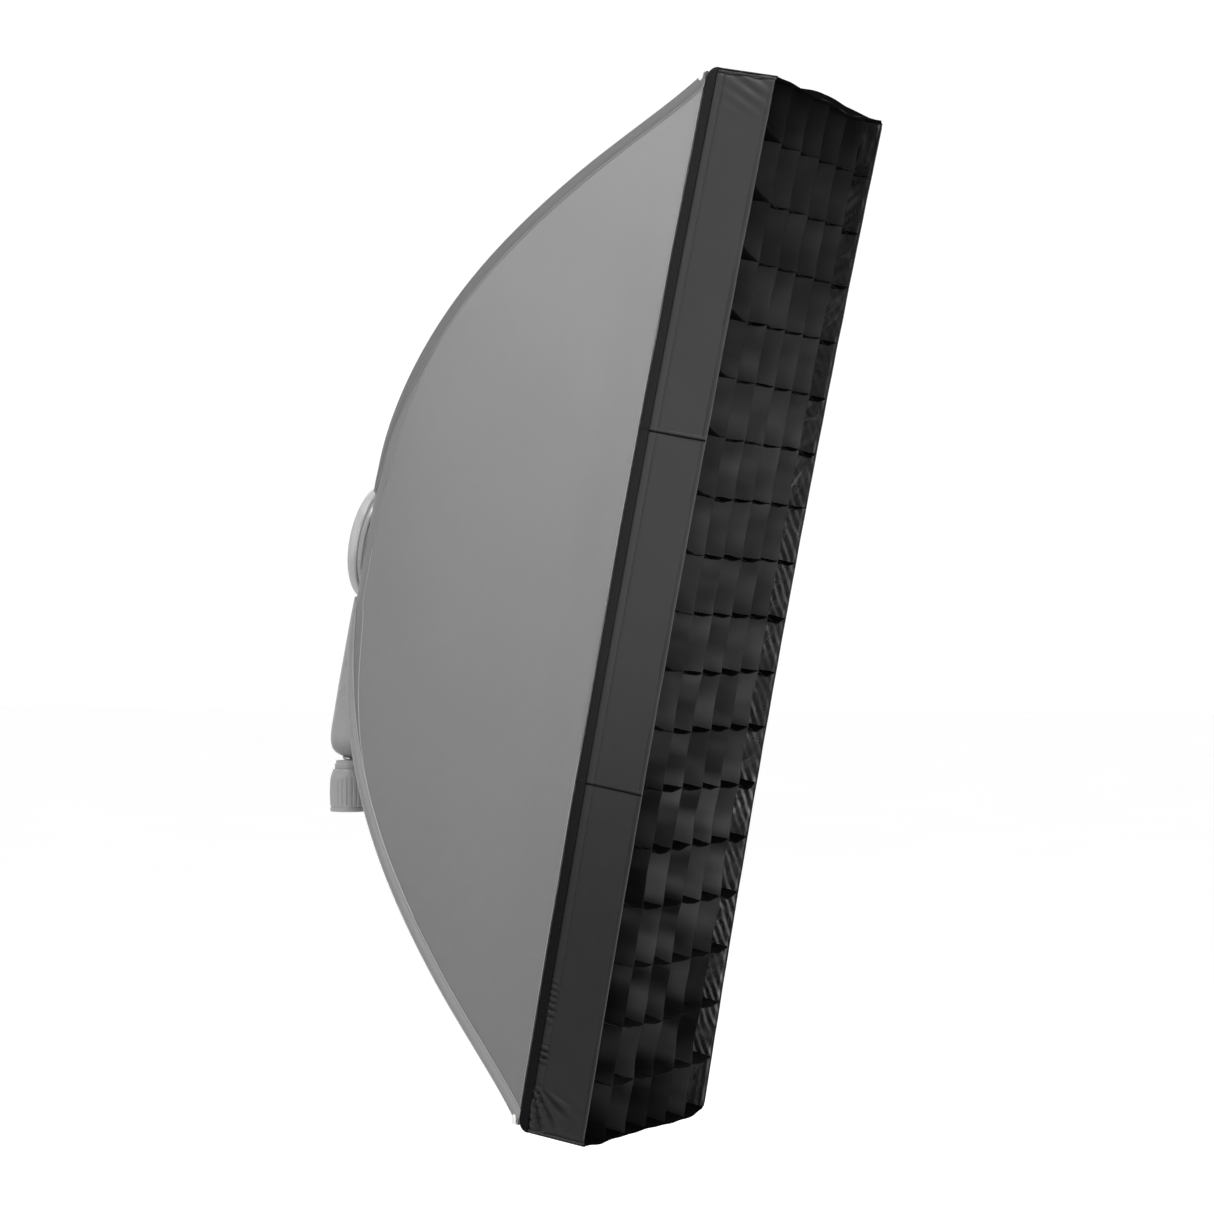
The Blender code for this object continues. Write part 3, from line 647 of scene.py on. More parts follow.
# one pocket cloth in two copies: darker on the upper pockets, painted shade, and lighter on the lower ones, painted
# light
M_POCKET_UP_SHADED = fabric("pocket_cloth_upper_painted_shade", lin(100, 100, 101), rough=0.6, pitch=0.0007, weave=0.00002, vary=0.04, spec=0.3, sheen=0.06,
                     contrast=0.07)
M_POCKET_LO_LIT = fabric("pocket_cloth_lower_painted_light", lin(124, 124, 125), rough=0.6, pitch=0.0007, weave=0.00002, vary=0.04, spec=0.35, sheen=0.1,
                     contrast=0.06)
# one piping cloth in two copies: lighter on the lower seams, painted light, and darker on the upper ones, painted shade
M_PIPE = fabric("piping_cloth", lin(142, 142, 142), rough=0.55, pitch=0.0008, weave=0.00003, vary=0.05, spec=0.4, contrast=0.12)
M_PIPE_UP_SHADED = fabric("piping_cloth_upper_painted_shade", lin(122, 122, 122), rough=0.55, pitch=0.0008, weave=0.00003, vary=0.05, spec=0.4, contrast=0.12)
M_EDGE = fabric("hem_cord", lin(134, 134, 134), rough=0.6, pitch=0.0006, weave=0.00004, vary=0.08, spec=0.35, contrast=0.2)
M_THREAD = fabric("thread_grey", lin(140, 140, 140), rough=0.6, pitch=0.0004, weave=0.00004, vary=0.08, spec=0.35, contrast=0.2)
M_SILVER = fabric("silver_lining", (0.62, 0.62, 0.62, 1), rough=0.42, pitch=0.0007, weave=0.00002, crease=0.0008, crease_scale=30, vary=0.05,
                  spec=0.6, contrast=0.06)
M_SILVER.node_tree.nodes["Principled BSDF"].inputs["Metallic"].default_value = 0.75
M_HOOK = nap("rim_loop_tape", lin(120, 120, 121), scale=2200, height=0.0003, vary=0.2)
M_WHITE = fabric("diffuser_cloth", (0.80, 0.80, 0.79, 1), rough=0.75, pitch=0.0005, weave=0.00002, crease=0.0006, crease_scale=12, vary=0.015,
                 spec=0.25, contrast=0.05)
# the binding tape is darker towards the bottom: painted shade
M_BIND = nap("grid_binding_tape", lin(31, 31, 32), scale=2400, height=0.0004, vary=0.35, spec=0.0, gradient=(-0.14, 0.16, 0.50, 1.0))
# the skirt cloth is darker towards the bottom, painted shade, and its marked front hem takes a lighter edge colour, a
# painted highlight
SKIRT_PAINTED_SHADE = (-0.14, 0.22, 0.31, 0.79)
M_SKIRT = fabric("grid_skirt_cloth", lin(54, 54, 55), rough=0.6, pitch=0.0007, weave=0.00003, crease=0.0004, crease_scale=45, vary=0.06,
                 spec=0.2, sheen=0.03, edge_colour=lin(52, 52, 52), contrast=0.14, gradient=SKIRT_PAINTED_SHADE)
# a darker copy of the skirt cloth for its top and bottom lengths: painted shade
M_SKIRT_ENDS_SHADED = fabric("grid_skirt_cloth_ends_painted_shade", lin(11, 11, 12), rough=0.8, pitch=0.0007, weave=0.00003, crease=0.0005, crease_scale=45, vary=0.15,
                      spec=0.0, contrast=0.12)
# a darker copy of the skirt lining for its top and bottom lengths, painted shade; it is also the dark thread of the
# near side's cross seams
M_END_IN = fabric("grid_skirt_lining_ends_painted_shade_and_seam_thread", lin(17, 17, 18), rough=0.8, pitch=0.0005, weave=0.00001, crease=0.0009, crease_scale=60, vary=0.3,
                  spec=0.0, contrast=0.08)
# the long strips' edge faces: a darker copy of the strip cloth, darker again towards the bottom and the top: painted
# shade
M_STRIP_EDGE_SHADED = fabric("grid_strip_edge_painted_shade", lin(34, 34, 35), rough=0.9, pitch=0.0005, weave=0.000008, vary=0.15, spec=0.0, contrast=0.06,
                      gradient=((-0.30, 0.0, 0.5, 1.0), (0.30, 0.56, 1.0, 0.6)))
# the skirt lining is darker towards the top and the bottom, painted shade, with diagonal streaks of painted satin
# highlight and shade
M_SKIRT_IN = fabric("grid_skirt_lining", lin(46, 46, 47), rough=0.30, pitch=0.0005, weave=0.00001, crease=0.0009, crease_scale=60, vary=0.2,
                    spec=1.0, sheen=0.1, sheen_rough=0.3, contrast=0.08, gradient=((0.20, 0.55, 1.0, 0.40), (-0.30, -0.10, 0.75, 1.0)),
                      painted_satin_streaks=(0.0070, 1.04, 0.30, 6.5, 0.02, 0.34))
# the long strips' cloth is darker towards the bottom and the top and darkest along the top row, painted shade, with
# painted light and shade in patches
M_STRIP = fabric("grid_strip_cloth", lin(56, 56, 57), rough=0.5, pitch=0.0005, weave=0.000008, crease=0.0006, crease_scale=55, vary=0.10,
                 spec=0.2, sheen=0.05, sheen_rough=0.35, edge_colour=lin(13, 13, 13), contrast=0.06, painted_light_patches=(0.030, 0.18, 1.75, -0.12, 0.20), gradient=((-0.30, 0.0, 0.33, 1.0), (0.30, 0.56, 1.0, 0.45), (0.535, 0.590, 1.0, 0.28)))
# the nearest long strip: the same cloth, darkened below the middle as painted shadow of the near skirt, with the same
# painted shade at the top and painted patches
M_STRIP_NEAR_SHADOWED = fabric("grid_strip_cloth_near_painted_shadow", lin(54, 54, 55), rough=0.5, pitch=0.0005, weave=0.000008, crease=0.0006, crease_scale=55, vary=0.10,
                      spec=0.15, sheen=0.05, sheen_rough=0.35, contrast=0.06, painted_light_patches=(0.030, 0.18, 1.75, -0.12, 0.20),
                      gradient=((-0.03, 0.06, 0.30, 1.0), (0.30, 0.56, 1.0, 0.45), (0.535, 0.590, 1.0, 0.28)))
# the cross strips: a much darker copy of the strip cloth, painted shade of their undersides, lighter towards the
# bottom, painted light, and with a lighter front edge, a painted highlight
M_STRIP_CROSS = fabric("grid_cross_strip_cloth_painted_shade_and_light", lin(13, 13, 14), rough=0.9, pitch=0.0005, weave=0.000008, crease=0.0005, crease_scale=55, vary=0.15,
                       spec=0.0, edge_colour=lin(22, 22, 23), contrast=0.06, gradient=(-0.22, 0.0, 2.6, 1.0))
M_TAPE_END = nap("binding_tape_end", lin(22, 22, 23), scale=2400, height=0.0003, vary=0.2, spec=0.1)
M_PIPE_BLACK = fabric("grid_piping", lin(36, 36, 37), rough=0.6, pitch=0.0007, weave=0.00004, vary=0.1, spec=0.3, contrast=0.2)
M_THREAD_BLACK = fabric("thread_black", lin(26, 26, 27), rough=0.55, pitch=0.0004, weave=0.00003, vary=0.1, spec=0.3, contrast=0.2)
M_THREAD_EDGE = fabric("thread_edge", lin(74, 74, 74), rough=0.55, pitch=0.0004, weave=0.00003, vary=0.1, spec=0.35, contrast=0.2)
M_HUB = plastic("hub_plastic", lin(156, 156, 156), rough=0.36, grain=0.000012, vary=0.03, spec=0.5, wear=lin(190, 190, 190))
# the handle plastic is darker below the hub: painted shade
M_ARM = plastic("handle_plastic", lin(136, 136, 136), rough=0.30, grain=0.00001, vary=0.03, spec=0.55, wear=lin(176, 176, 176), gradient=(0.022, 0.042, 0.50, 1.0))
M_RING = plastic("ring_plastic", lin(112, 112, 113), rough=0.5, grain=0.00002, vary=0.05, spec=0.4, wear=lin(140, 140, 140))
M_COLLAR = plastic("collar_plastic", lin(139, 139, 139), rough=0.42, grain=0.00002, vary=0.05, spec=0.45, wear=lin(168, 168, 168))
M_BLACK = plastic("black_nylon", lin(38, 38, 40), rough=0.45, grain=0.00003, vary=0.1, wear=lin(70, 70, 72))
M_NYLON = plastic("white_nylon", lin(205, 205, 200), rough=0.42, grain=0.00001, vary=0.02, wear=lin(225, 225, 222))
M_STEEL = metal("bright_steel", (0.62, 0.62, 0.63, 1), rough=0.24)
M_ROD = metal("spring_steel", (0.36, 0.36, 0.38, 1), rough=0.34)
M_MOUNT = metal("ring_steel", (0.60, 0.60, 0.60, 1), rough=0.28, scale=(60, 600, 60))

# ------------------------------------------------------------------ how the front edge bows
def rim_bow(u, w):
    far = np.clip(0.5 - np.asarray(u) / (2 * HALF_W), 0, 1)
    return -(0.0040 + 0.0025 * far) * (1 - (w / HALF_L) ** 2)


def bow_share(v):
    return smooth((v - 0.11) / (V_END - 0.11))


def seam_round(b, d):
    """How far the cloth draws in beside a seam, d from the seam."""
    return 0.0011 * np.exp(-np.maximum(d, 0) / 0.005) * smooth((b - 0.055) / 0.02)


def dip(w):
    """The rod tips draw the shell in where they meet the front corners."""
    near = np.where(w > 0, smooth((np.abs(w) - 0.345) / 0.105), smooth((np.abs(w) - 0.408) / 0.042))
    return w - np.sign(w) * 0.0034 * near


BAND_B = 0.0765


def band_width(w):
    """Width of the doubled strip along the seams, wider where the two strips of a panel meet behind."""
    return 0.0097 + 0.0092 * (1 - smooth((np.abs(w) - 0.05) / 0.16))


def band_at(b, w):
    """Signed distance inside the strip's edge."""
    aw = np.abs(w)
    e = 1e-4
    x = np.clip(aw, HUB_W, HALF_L - e)
    k = np.hypot((v_of(x + e) - v_of(x - e)) / (2 * e), (HALF_W - HUB_U) / (HALF_L - HUB_W))
    rear = (HUB_W + BAND_B - b) * 0.247
    seam = band_width(w) - (b - aw) * k / np.sqrt(1 + k * k)
    t = smooth((aw - 0.040) / 0.020)
    return rear * (1 - t) + seam * t


# ------------------------------------------------------------------ side panels
def side_point(sx, b, w):
    a, v = a_of(b), v_of(b)
    tau = np.clip(np.abs(w) / b, 0, 1)
    free = smooth((b - 0.055) / 0.16) * (1 - smooth((v - 0.225) / 0.048))
    d = 0.0032 * (1 - tau ** 2) * free
    d = d + 0.00045 * waves(w, v, 11 + sx, 0.16) * (1 - tau ** 4) * smooth((b - 0.06) / 0.08)
    # short puckers where the panel is sewn into the rim, and a few along the lower pockets
    rim = np.exp(-(V_END - v) / 0.010)
    d = d + 0.00010 * rim * np.sin(w * 2 * math.pi / 0.0105 + 1.4 * waves(w, 0 * w, 5, 0.08))
    low = bump_at(w, -0.285, 0.035) * np.exp(-np.maximum(b - np.abs(w), 0) / 0.020) * (w < 0)
    d = d + 0.0005 * low * np.sin((w * 1.0 - v * 0.55) * 2 * math.pi / 0.013 + 0.8)
    g = seam_round(b, b - np.abs(w))
    return np.stack([sx * (a - d - g), v + rim_bow(sx * a, w) * bow_share(v), dip(w - np.sign(w) * g + 0 * b)], -1)


def surface(f, b, x, out):
    """Points and outward normals of a panel given as f(b, x)."""
    e = 2e-4
    P = f(b, x)
    n = unit(np.cross(f(b + e, x) - f(b - e, x), f(b, x + e) - f(b, x - e)))
    s = np.sign((n * out).sum(-1))
    return W(P), WN(n * s[..., None])


NR = 120
ROWS = HUB_W + (B_END - HUB_W) * np.linspace(0, 1, NR) ** 1.12
ROWS = np.sort(np.append(ROWS[np.abs(ROWS - B_STAR) > 0.0012], B_STAR))
ARC = np.concatenate([[0], np.cumsum(np.hypot(np.diff(v_of(ROWS)), np.diff(a_of(ROWS))))])
FABRIC_T = 0.0009
softbox_cloth = []
RODS = {(1, 1): "rod_body_upper_right", (-1, 1): "rod_body_upper_left", (1, -1): "rod_body_lower_right", (-1, -1): "rod_body_lower_left"}
FN = np.array([-(HALF_L - HINGE[2]), DEPTH - HINGE[1]])
FN = FN / np.linalg.norm(FN)


def fold_main(ob, sx, sw):
    """Bakes the placement of cloth between the rod and the middle of the rim into its mesh."""
    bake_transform(ob)


def fold_narrow(ob, sx, sw):
    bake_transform(ob)


for sx, sname in ((1, "right"), (-1, "left")):
    first = None
    for sw, wname in ((1, "upper"), (-1, "lower")):
        # the strip between the fold line and the middle
        b = ROWS[:, None]
        top = np.minimum(np.where(ROWS < B_STAR - 1e-6, ROWS, fold_line(ROWS)), ROWS)[:, None]
        w = sw * top * np.linspace(0, 1, 9)[None, :]
        bb = b + 0 * w
        P, N = surface(lambda x, y: side_point(sx, x, y), bb, w, np.array([sx, 0, 0]))
        cl = np.stack([w, ARC[:, None] + 0 * w, 0 * w], -1)
        ob = make(f"side_panel_{sname}_{wname}_inner", [shell(P, N, FABRIC_T, cloth=cl, edge=100 * band_at(bb, w))], [M_SHELL, M_SILVER], None, normals=True)
        fold_narrow(ob, sx, sw)
        softbox_cloth.append(ob)
        if first is None:
            first = ob
        # the sector between the fold line and the rod
        rows = ROWS[ROWS >= B_STAR - 1e-9]
        arc = ARC[ROWS >= B_STAR - 1e-9]
        b = rows[:, None]
        lo, hi = fold_line(rows)[:, None], b
        m = 84
        s = np.linspace(0, 1, m)[None, :]
        w = sw * (lo + (hi - lo) * s)
        P, N = surface(lambda x, y: side_point(sx, x, y), b + 0 * w, w, np.array([sx, 0, 0]))
        cl = np.stack([w, arc[:, None] + 0 * w, 0 * w], -1)
        ob = make(f"side_panel_{sname}_{wname}_outer", [shell(P, N, FABRIC_T, cloth=cl, edge=100 * band_at(b + 0 * w, w))], [M_SHELL, M_SILVER], None, normals=True)
        fold_main(ob, sx, sw)
        softbox_cloth.append(ob)
    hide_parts("side_panel_" + sname)


# ------------------------------------------------------------------ end panels
def end_point(sw, b, t):
    a, v = a_of(b) - 0.0006, v_of(b)
    free = smooth((b - 0.055) / 0.14) * (1 - smooth((v - 0.22) / 0.04))
    d = 0.0026 * (1 - t ** 2) * free + 0.00035 * waves(t * a, v, 31 + sw, 0.12) * (1 - t ** 4) * smooth((b - 0.06) / 0.08)
    rim = np.exp(-(V_END - v) / 0.010)
    d = d + 0.00012 * rim * np.sin(t * a * 2 * math.pi / 0.0105)
    g = seam_round(b, a * (1 - np.abs(t)))
    return np.stack([t * a - np.sign(t) * g, v + 0 * t, dip(sw * (b - d - g))], -1)


for sw, name, rod in ((1, "top", "rod_body_upper_right"), (-1, "bottom", "rod_body_lower_right")):
    b = ROWS[:, None]
    t = np.linspace(-1, 1, 61)[None, :]
    e = 2e-4
    bb, tt = np.broadcast_arrays(b, t)
    P = end_point(sw, bb, tt)
    n = unit(np.cross(end_point(sw, bb + e, tt) - end_point(sw, bb - e, tt), end_point(sw, bb, tt + e * 8) - end_point(sw, bb, tt - e * 8)))
    n = n * np.sign((n * np.array([0, -0.5, sw])).sum(-1))[..., None]
    arc = np.concatenate([[0], np.cumsum(np.hypot(np.diff(v_of(ROWS)), np.diff(ROWS)))])
    cl = np.stack([tt * a_of(bb), arc[:, None] + 0 * tt, 0 * tt], -1)
    ob = make(f"end_panel_{name}_cloth", [shell(W(P), WN(n), FABRIC_T, cloth=cl)], [M_SHELL, M_SILVER], None, normals=True)
    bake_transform(ob)
    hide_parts("end_panel_" + name)
    softbox_cloth.append(ob)


# ------------------------------------------------------------------ rod pockets, piping and stitching along the seams
def seam_frames(b):
    e = 1e-4
    def S(x):
        return np.stack([a_of(x), v_of(x), x], -1)
    t = (S(b + e) - S(b - e)) / (2 * e)
    s = unit(np.stack([-t[:, 1], t[:, 0], 0 * b], -1))
    s = s * np.sign(s[:, 1:2])
    en = unit(np.stack([0 * b, t[:, 2], -t[:, 1]], -1))
    p = S(b)
    p[:, 1] += rim_bow(p[:, 0], p[:, 2]) * bow_share(p[:, 1])
    p[:, 2] = dip(p[:, 2])
    return p, s, en


SIDE_SECTION = [(9.7, -0.9), (9.6, 0.15), (9.3, 0.55), (8.7, 0.62), (8.2, 0.35), (7.6, 0.75), (6.4, 1.25), (5.0, 1.55), (3.6, 1.6), (2.3, 1.45), (1.2, 1.15)]
END_SECTION = [(1.1, 1.1), (2.2, 1.3), (3.6, 1.3), (5.2, 1.0), (6.2, 0.5), (6.6, 0.1), (6.8, -0.8)]


def slope(b):
    e = 1e-4
    return (v_of(b + e) - v_of(b - e)) / (2 * e), (HALF_W - HUB_U) / (HALF_L - HUB_W)


def on_side(b, d, o):
    """A point d from the seam (mm, square to it) on the side panel, o outside it."""
    dv, da = slope(b)
    k = np.hypot(dv, da)
    b2 = np.minimum(b + d * 1e-3 / (k * np.sqrt(1 + k * k)), B_END)
    w2 = b - d * 1e-3 * k / np.sqrt(1 + k * k)
    p, s, en = seam_frames(b2)
    g = seam_round(b, d * 1e-3)
    p = p - s * (o * 1e-3)
    p[:, 0] -= g
    p[:, 2] = dip(w2 - g)
    # the panel's slack sinks in beside the seam, and the pocket goes with it
    v = v_of(b2)
    free = smooth((b2 - 0.055) / 0.16) * (1 - smooth((v - 0.225) / 0.048))
    p[:, 0] -= 0.0032 * (1 - (np.clip(w2 / b2, 0, 1)) ** 2) * free
    return p


def drawn_in(d, b):
    g = seam_round(b, d * 1e-3)
    return np.stack([-g, 0 * g, -g], -1)


for (sx, sw), rod in RODS.items():
    flip = np.array([sx, 1, sw])
    b = np.linspace(0.0500, B_END + 0.0002, 240)
    p, s, en = seam_frames(b)
    ts, te = np.array([0.0, 0, -1.0]), np.array([-1.0, 0, 0])
    fade = smooth((b - 0.048) / 0.012)[:, None]
    lump = (1 + 0.05 * waves(b, 0 * b, 41 + sx + 2 * sw, 0.045))[:, None]
    ring = []
    for d, o in SIDE_SECTION:
        o = o * (lump if o > 0.5 else 1.0)
        ring.append(on_side(b, d, np.broadcast_to(o, (len(b), 1))))
    ring.append(p + drawn_in(0, b) - unit(s + en) * 0.95e-3)
    for d, o in END_SECTION:
        ring.append(p + drawn_in(d, b) + te * d * 1e-3 - en * (o * 1e-3))
    ring.append(p + drawn_in(6.8, b) + te * 6.8e-3 + en * 1.3e-3)
    ring.append(p + drawn_in(1.5, b) + unit(s + en) * 1.6e-3)
    ring.append(on_side(b, 9.7, -1.3))
    rings = W(np.stack(ring, 1) * flip)
    c = np.zeros(rings.shape)
    c[..., 0] = np.linspace(0, 0.6, len(b))[:, None]
    c[..., 1] = np.arange(rings.shape[1])[None, :] * 0.0012
    nm = rod.replace("rod_body_", "")
    pocket = make(f"rod_pocket_{nm}", [solid(rings, cloth=c)], [M_POCKET_UP_SHADED if sw > 0 else M_POCKET_LO_LIT], rod, sharp=60)
    # piping on the seam and along the pocket's inner edge, then a row of stitches in the groove beside it
    bp = b[2:]
    pp, ss, ee = seam_frames(bp)
    corner = W((pp + drawn_in(0, bp) - unit(ss + ee) * 0.95e-3) * flip)
    inner = W(on_side(bp, 9.4, 0.35) * flip)
    outer = W((pp + drawn_in(6.7, bp) + te * 6.7e-3 - ee * 0.10e-3) * flip)
    make(f"seam_piping_{nm}", [tube(corner, 0.00065, 8), tube(inner, 0.00050, 8), tube(outer, 0.0005, 6)], [M_PIPE_UP_SHADED if sw > 0 else M_PIPE], rod)
    line1 = W(on_side(bp, 8.2, 0.42) * flip)
    make(f"pocket_stitches_{nm}", [stitches(line1, WN(-ss * flip), r=0.0002)], [M_THREAD], rod)
    # the rod's end cap looks out of the pocket beside the rim
    bow = float(rim_bow(0.15, 0.44))
    z = np.array([0.4372, 0.4380, 0.4392, 0.4410, 0.4430, 0.4448, 0.4458, 0.4464])
    line = np.stack([np.full(8, 0.1492), 0.2722 + bow + 0.0006 * np.linspace(-1, 1, 8), z], -1)
    rad = 0.0020 * np.array([0.35, 0.75, 1.0, 1.0, 1.0, 0.95, 0.75, 0.35])
    make(f"rod_end_cap_{nm}", [tube(W(line * flip), rad, 16)], [M_NYLON], rod, sharp=50)

# a cord along the inner edge of the doubled strip
for sx, sname in ((1, "right"), (-1, "left")):
    for sw, wname in ((1, "upper"), (-1, "lower")):
        ws_ = np.concatenate([np.linspace(0, 0.075, 26), np.linspace(0.08, 0.30, 60)])
        bs = np.array([bisect(lambda x: -float(band_at(x, w)), max(w, HUB_W) + 1e-4, B_END) for w in ws_])
        fold = fold_line(bs)
        split = int(np.argmax(ws_ > fold))
        P, N = surface(lambda x, y: side_point(sx, x, y), bs, sw * ws_, np.array([sx, 0, 0]))
        line = P + N * 0.00015
        for what, i, fold_by in (("inner", slice(0, split + 1), fold_narrow), ("outer", slice(split, None), fold_main)):
            ob = make(f"strip_cord_{sname}_{wname}_{what}", [tube(line[i], 0.00042, 6)], [M_PIPE_UP_SHADED if sw > 0 else M_PIPE], None)
            fold_by(ob, sx, sw)

# ------------------------------------------------------------------ rear collar: cloth from the square opening to the ring
a = np.linspace(0, 2 * math.pi, 144, endpoint=False)
c8 = np.abs(np.cos(a)) ** 9 + np.abs(np.sin(a)) ** 9
R_SQ = 0.0478 / c8 ** (1 / 9)
k = np.linspace(0, 1, 9)[:, None]
rad = 0.0392 * (1 - k) + R_SQ[None, :] * k
vv = 0.0008 + 0.0010 * np.sin(math.pi * k) * (1 + 0.25 * np.sin(a * 12))[None, :] + 0.0009 * k ** 2
P = W(np.stack([rad * np.cos(a), vv + 0 * rad, rad * np.sin(a)], -1))
N = grid_normals(P, WN(np.array([0, -1.0, 0])), wrap=True)
cl = np.stack([rad * np.cos(a), rad * np.sin(a), 0 * rad], -1)
ob = make("rear_collar_cloth", [shell(P, N, 0.0010, wrap=True, cloth=cl)], [M_SHELL, M_SILVER], "softbox", normals=True)
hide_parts("rear_collar")


# ------------------------------------------------------------------ outlines of the front
def outline(hw, hl, r, step, corner=10, fine=None):
    """Points, outward normals and arc length round a rounded rectangle, from the middle of the right side upwards."""
    def line(x0, y0, x1, y1, nx, ny, step=step):
        m = max(2, int(round(math.hypot(x1 - x0, y1 - y0) / step)))
        s = np.arange(m) / m
        return [(x0 + (x1 - x0) * q, y0 + (y1 - y0) * q, nx, ny) for q in s]

    def arc(cx, cy, a0):
        return [(cx + r * math.cos(q), cy + r * math.sin(q), math.cos(q), math.sin(q))
                for q in (a0 + math.pi / 2 * j / corner for j in range(corner))]
    pts = line(hw, 0, hw, hl - r, 1, 0) + arc(hw - r, hl - r, 0)
    pts += line(hw - r, hl, -hw + r, hl, 0, 1) + arc(-hw + r, hl - r, math.pi / 2)
    pts += line(-hw, hl - r, -hw, 0, -1, 0) + line(-hw, 0, -hw, -hl + r, -1, 0) + arc(-hw + r, -hl + r, math.pi)
    pts += line(-hw + r, -hl, hw - r, -hl, 0, -1) + arc(hw - r, -hl + r, 3 * math.pi / 2)
    if fine:
        pts += line(hw, -hl + r, hw, -hl * 0.56, 1, 0, fine) + line(hw, -hl * 0.56, hw, 0, 1, 0)
    else:
        pts += line(hw, -hl + r, hw, 0, 1, 0)
    q = np.array(pts)
    P, n = q[:, :2], q[:, 2:]
    L = np.concatenate([[0], np.cumsum(np.linalg.norm(np.diff(P, axis=0), axis=1))])
    return P, n, L


# ------------------------------------------------------------------ rim band, in six pieces; the top and bottom pieces ride on rod bodies
q, qn, L = outline(HALF_W, HALF_L, 0.006, 0.005)
rows = [(V_RIM, 0.0018), (V_RIM + 0.003, 0.0016), (DEPTH - 0.0060, 0.0015), (DEPTH - 0.0022, 0.0012), (DEPTH - 0.0008, 0.0012), (DEPTH - 0.0001, 0.0016)]


def rim_grid(index):
    P, N = [], []
    for v, o in rows:
        b = b_at(min(v, V_END))
        u = q[index, 0] * (float(a_of(b)) - o) / HALF_W
        w = q[index, 1] * (b - o) / HALF_L
        P.append(np.stack([u, v + rim_bow(q[index, 0], q[index, 1]), dip(w)], -1))
    P = np.stack(P)
    n = np.broadcast_to(np.stack([qn[index, 0], 0 * qn[index, 0], qn[index, 1]], -1)[None], P.shape)
    cl = np.stack(np.broadcast_arrays(L[index][None, :], np.array([r[0] for r in rows])[:, None], 0.0), -1)
    return W(P), WN(n), cl


top_i = np.where(q[:, 1] >= HALF_L - 0.0081)[0]
bot_i = np.where(q[:, 1] <= -HALF_L + 0.0081)[0]
side_index = {}
for (sx, sw) in RODS:
    i = np.where((np.sign(q[:, 0]) == sx) & (q[:, 1] * sw >= -1e-9) & (np.abs(q[:, 1]) <= HALF_L - 0.0079) & (np.abs(q[:, 0]) > HALF_W - 1e-6))[0]
    if sx > 0 and sw > 0:
        i = i[i < len(q) // 2]
    if sx > 0 and sw < 0:
        i = np.append(i[i > len(q) // 2], 0)
    side_index[(sx, sw)] = i
for key, i in side_index.items():
    sx, sw = key
    P, N, cl = rim_grid(i)
    ob = make("rim_%s_%s" % ("right" if sx > 0 else "left", "upper" if sw > 0 else "lower"), [shell(P, N, 0.0020, cloth=cl)],
              [M_SHELL, M_HOOK], None, normals=True)
    fold_main(ob, sx, sw)
for i, name, rod in ((top_i, "top", "rod_body_upper_right"), (bot_i, "bottom", "rod_body_lower_right")):
    i = np.arange(i[0] - 1, i[-1] + 2)
    P, N, cl = rim_grid(i)
    ob = make("rim_" + name, [shell(P, N, 0.0020, cloth=cl)], [M_SHELL, M_HOOK], rod, normals=True)
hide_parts("rim_band")
# the panels' hem at the front edge: a fine cord edge and a row of stitches behind it
for (sx, sw), rod in RODS.items():
    nm = "%s_%s" % ("right" if sx > 0 else "left", "upper" if sw > 0 else "lower")
    for what, dv, lift in (("rim_stitches", 0.0031, 0.00002), ("rim_edge_cord", 0.0013, 0.0)):
        bb = b_at(DEPTH - dv)
        w = sw * np.linspace(0, bb - 0.0085, 90)
        P, N = surface(lambda x, y: side_point(sx, x, y), bb + 0 * w, w, np.array([sx, 0, 0]))
        if what == "rim_stitches":
            part = stitches(P, N, pitch=0.0030, length=0.0018, r=0.00020, lift=lift)
        else:
            part = tube(P + N * 0.0001, 0.00042, 6)
        ob = make(what + "_" + nm, [part], [M_THREAD if what == "rim_stitches" else M_EDGE], None)
        fold_main(ob, sx, sw)

# ------------------------------------------------------------------ diffusers
for sw, wname, rod in ((1, "upper", "rod_body_upper_right"), (-1, "lower", "rod_body_lower_right")):
    hw, hl = HALF_W - 0.0040, HALF_L - 0.0128
    w = sw * hl * np.linspace(0, 1, 60)[:, None] ** 0.95
    u = hw * np.linspace(-1, 1, 31)[None, :]
    inset = np.where(np.abs(w) > hl - 0.006, 0.006 * (1 - np.sqrt(np.clip(1 - ((np.abs(w) - hl + 0.006) / 0.006) ** 2, 0, 1))), 0.0)
    uu = u * (hw - inset) / hw
    bulge = 0.0015 * (1 - (u / hw) ** 2) * (1 - (w / hl) ** 2) + 0.0004 * waves(uu, w + 0 * u, 61, 0.12) * (1 - (u / hw) ** 2)
    P = W(np.stack([uu, DEPTH - 0.0068 - bulge + rim_bow(uu, w), w + 0 * uu], -1))
    N = grid_normals(P, WN(np.array([0, 1.0, 0])))
    N[0] = WN(np.array([0, 1.0, 0]))
    cl = np.stack([uu, w + 0 * uu, 0 * uu], -1)
    ob = make("front_diffuser_" + wname, [shell(P, N, 0.0007, cloth=cl, mats=(0, 0, 0))], [M_WHITE], None, normals=True)
    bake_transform(ob)
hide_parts("front_diffuser")

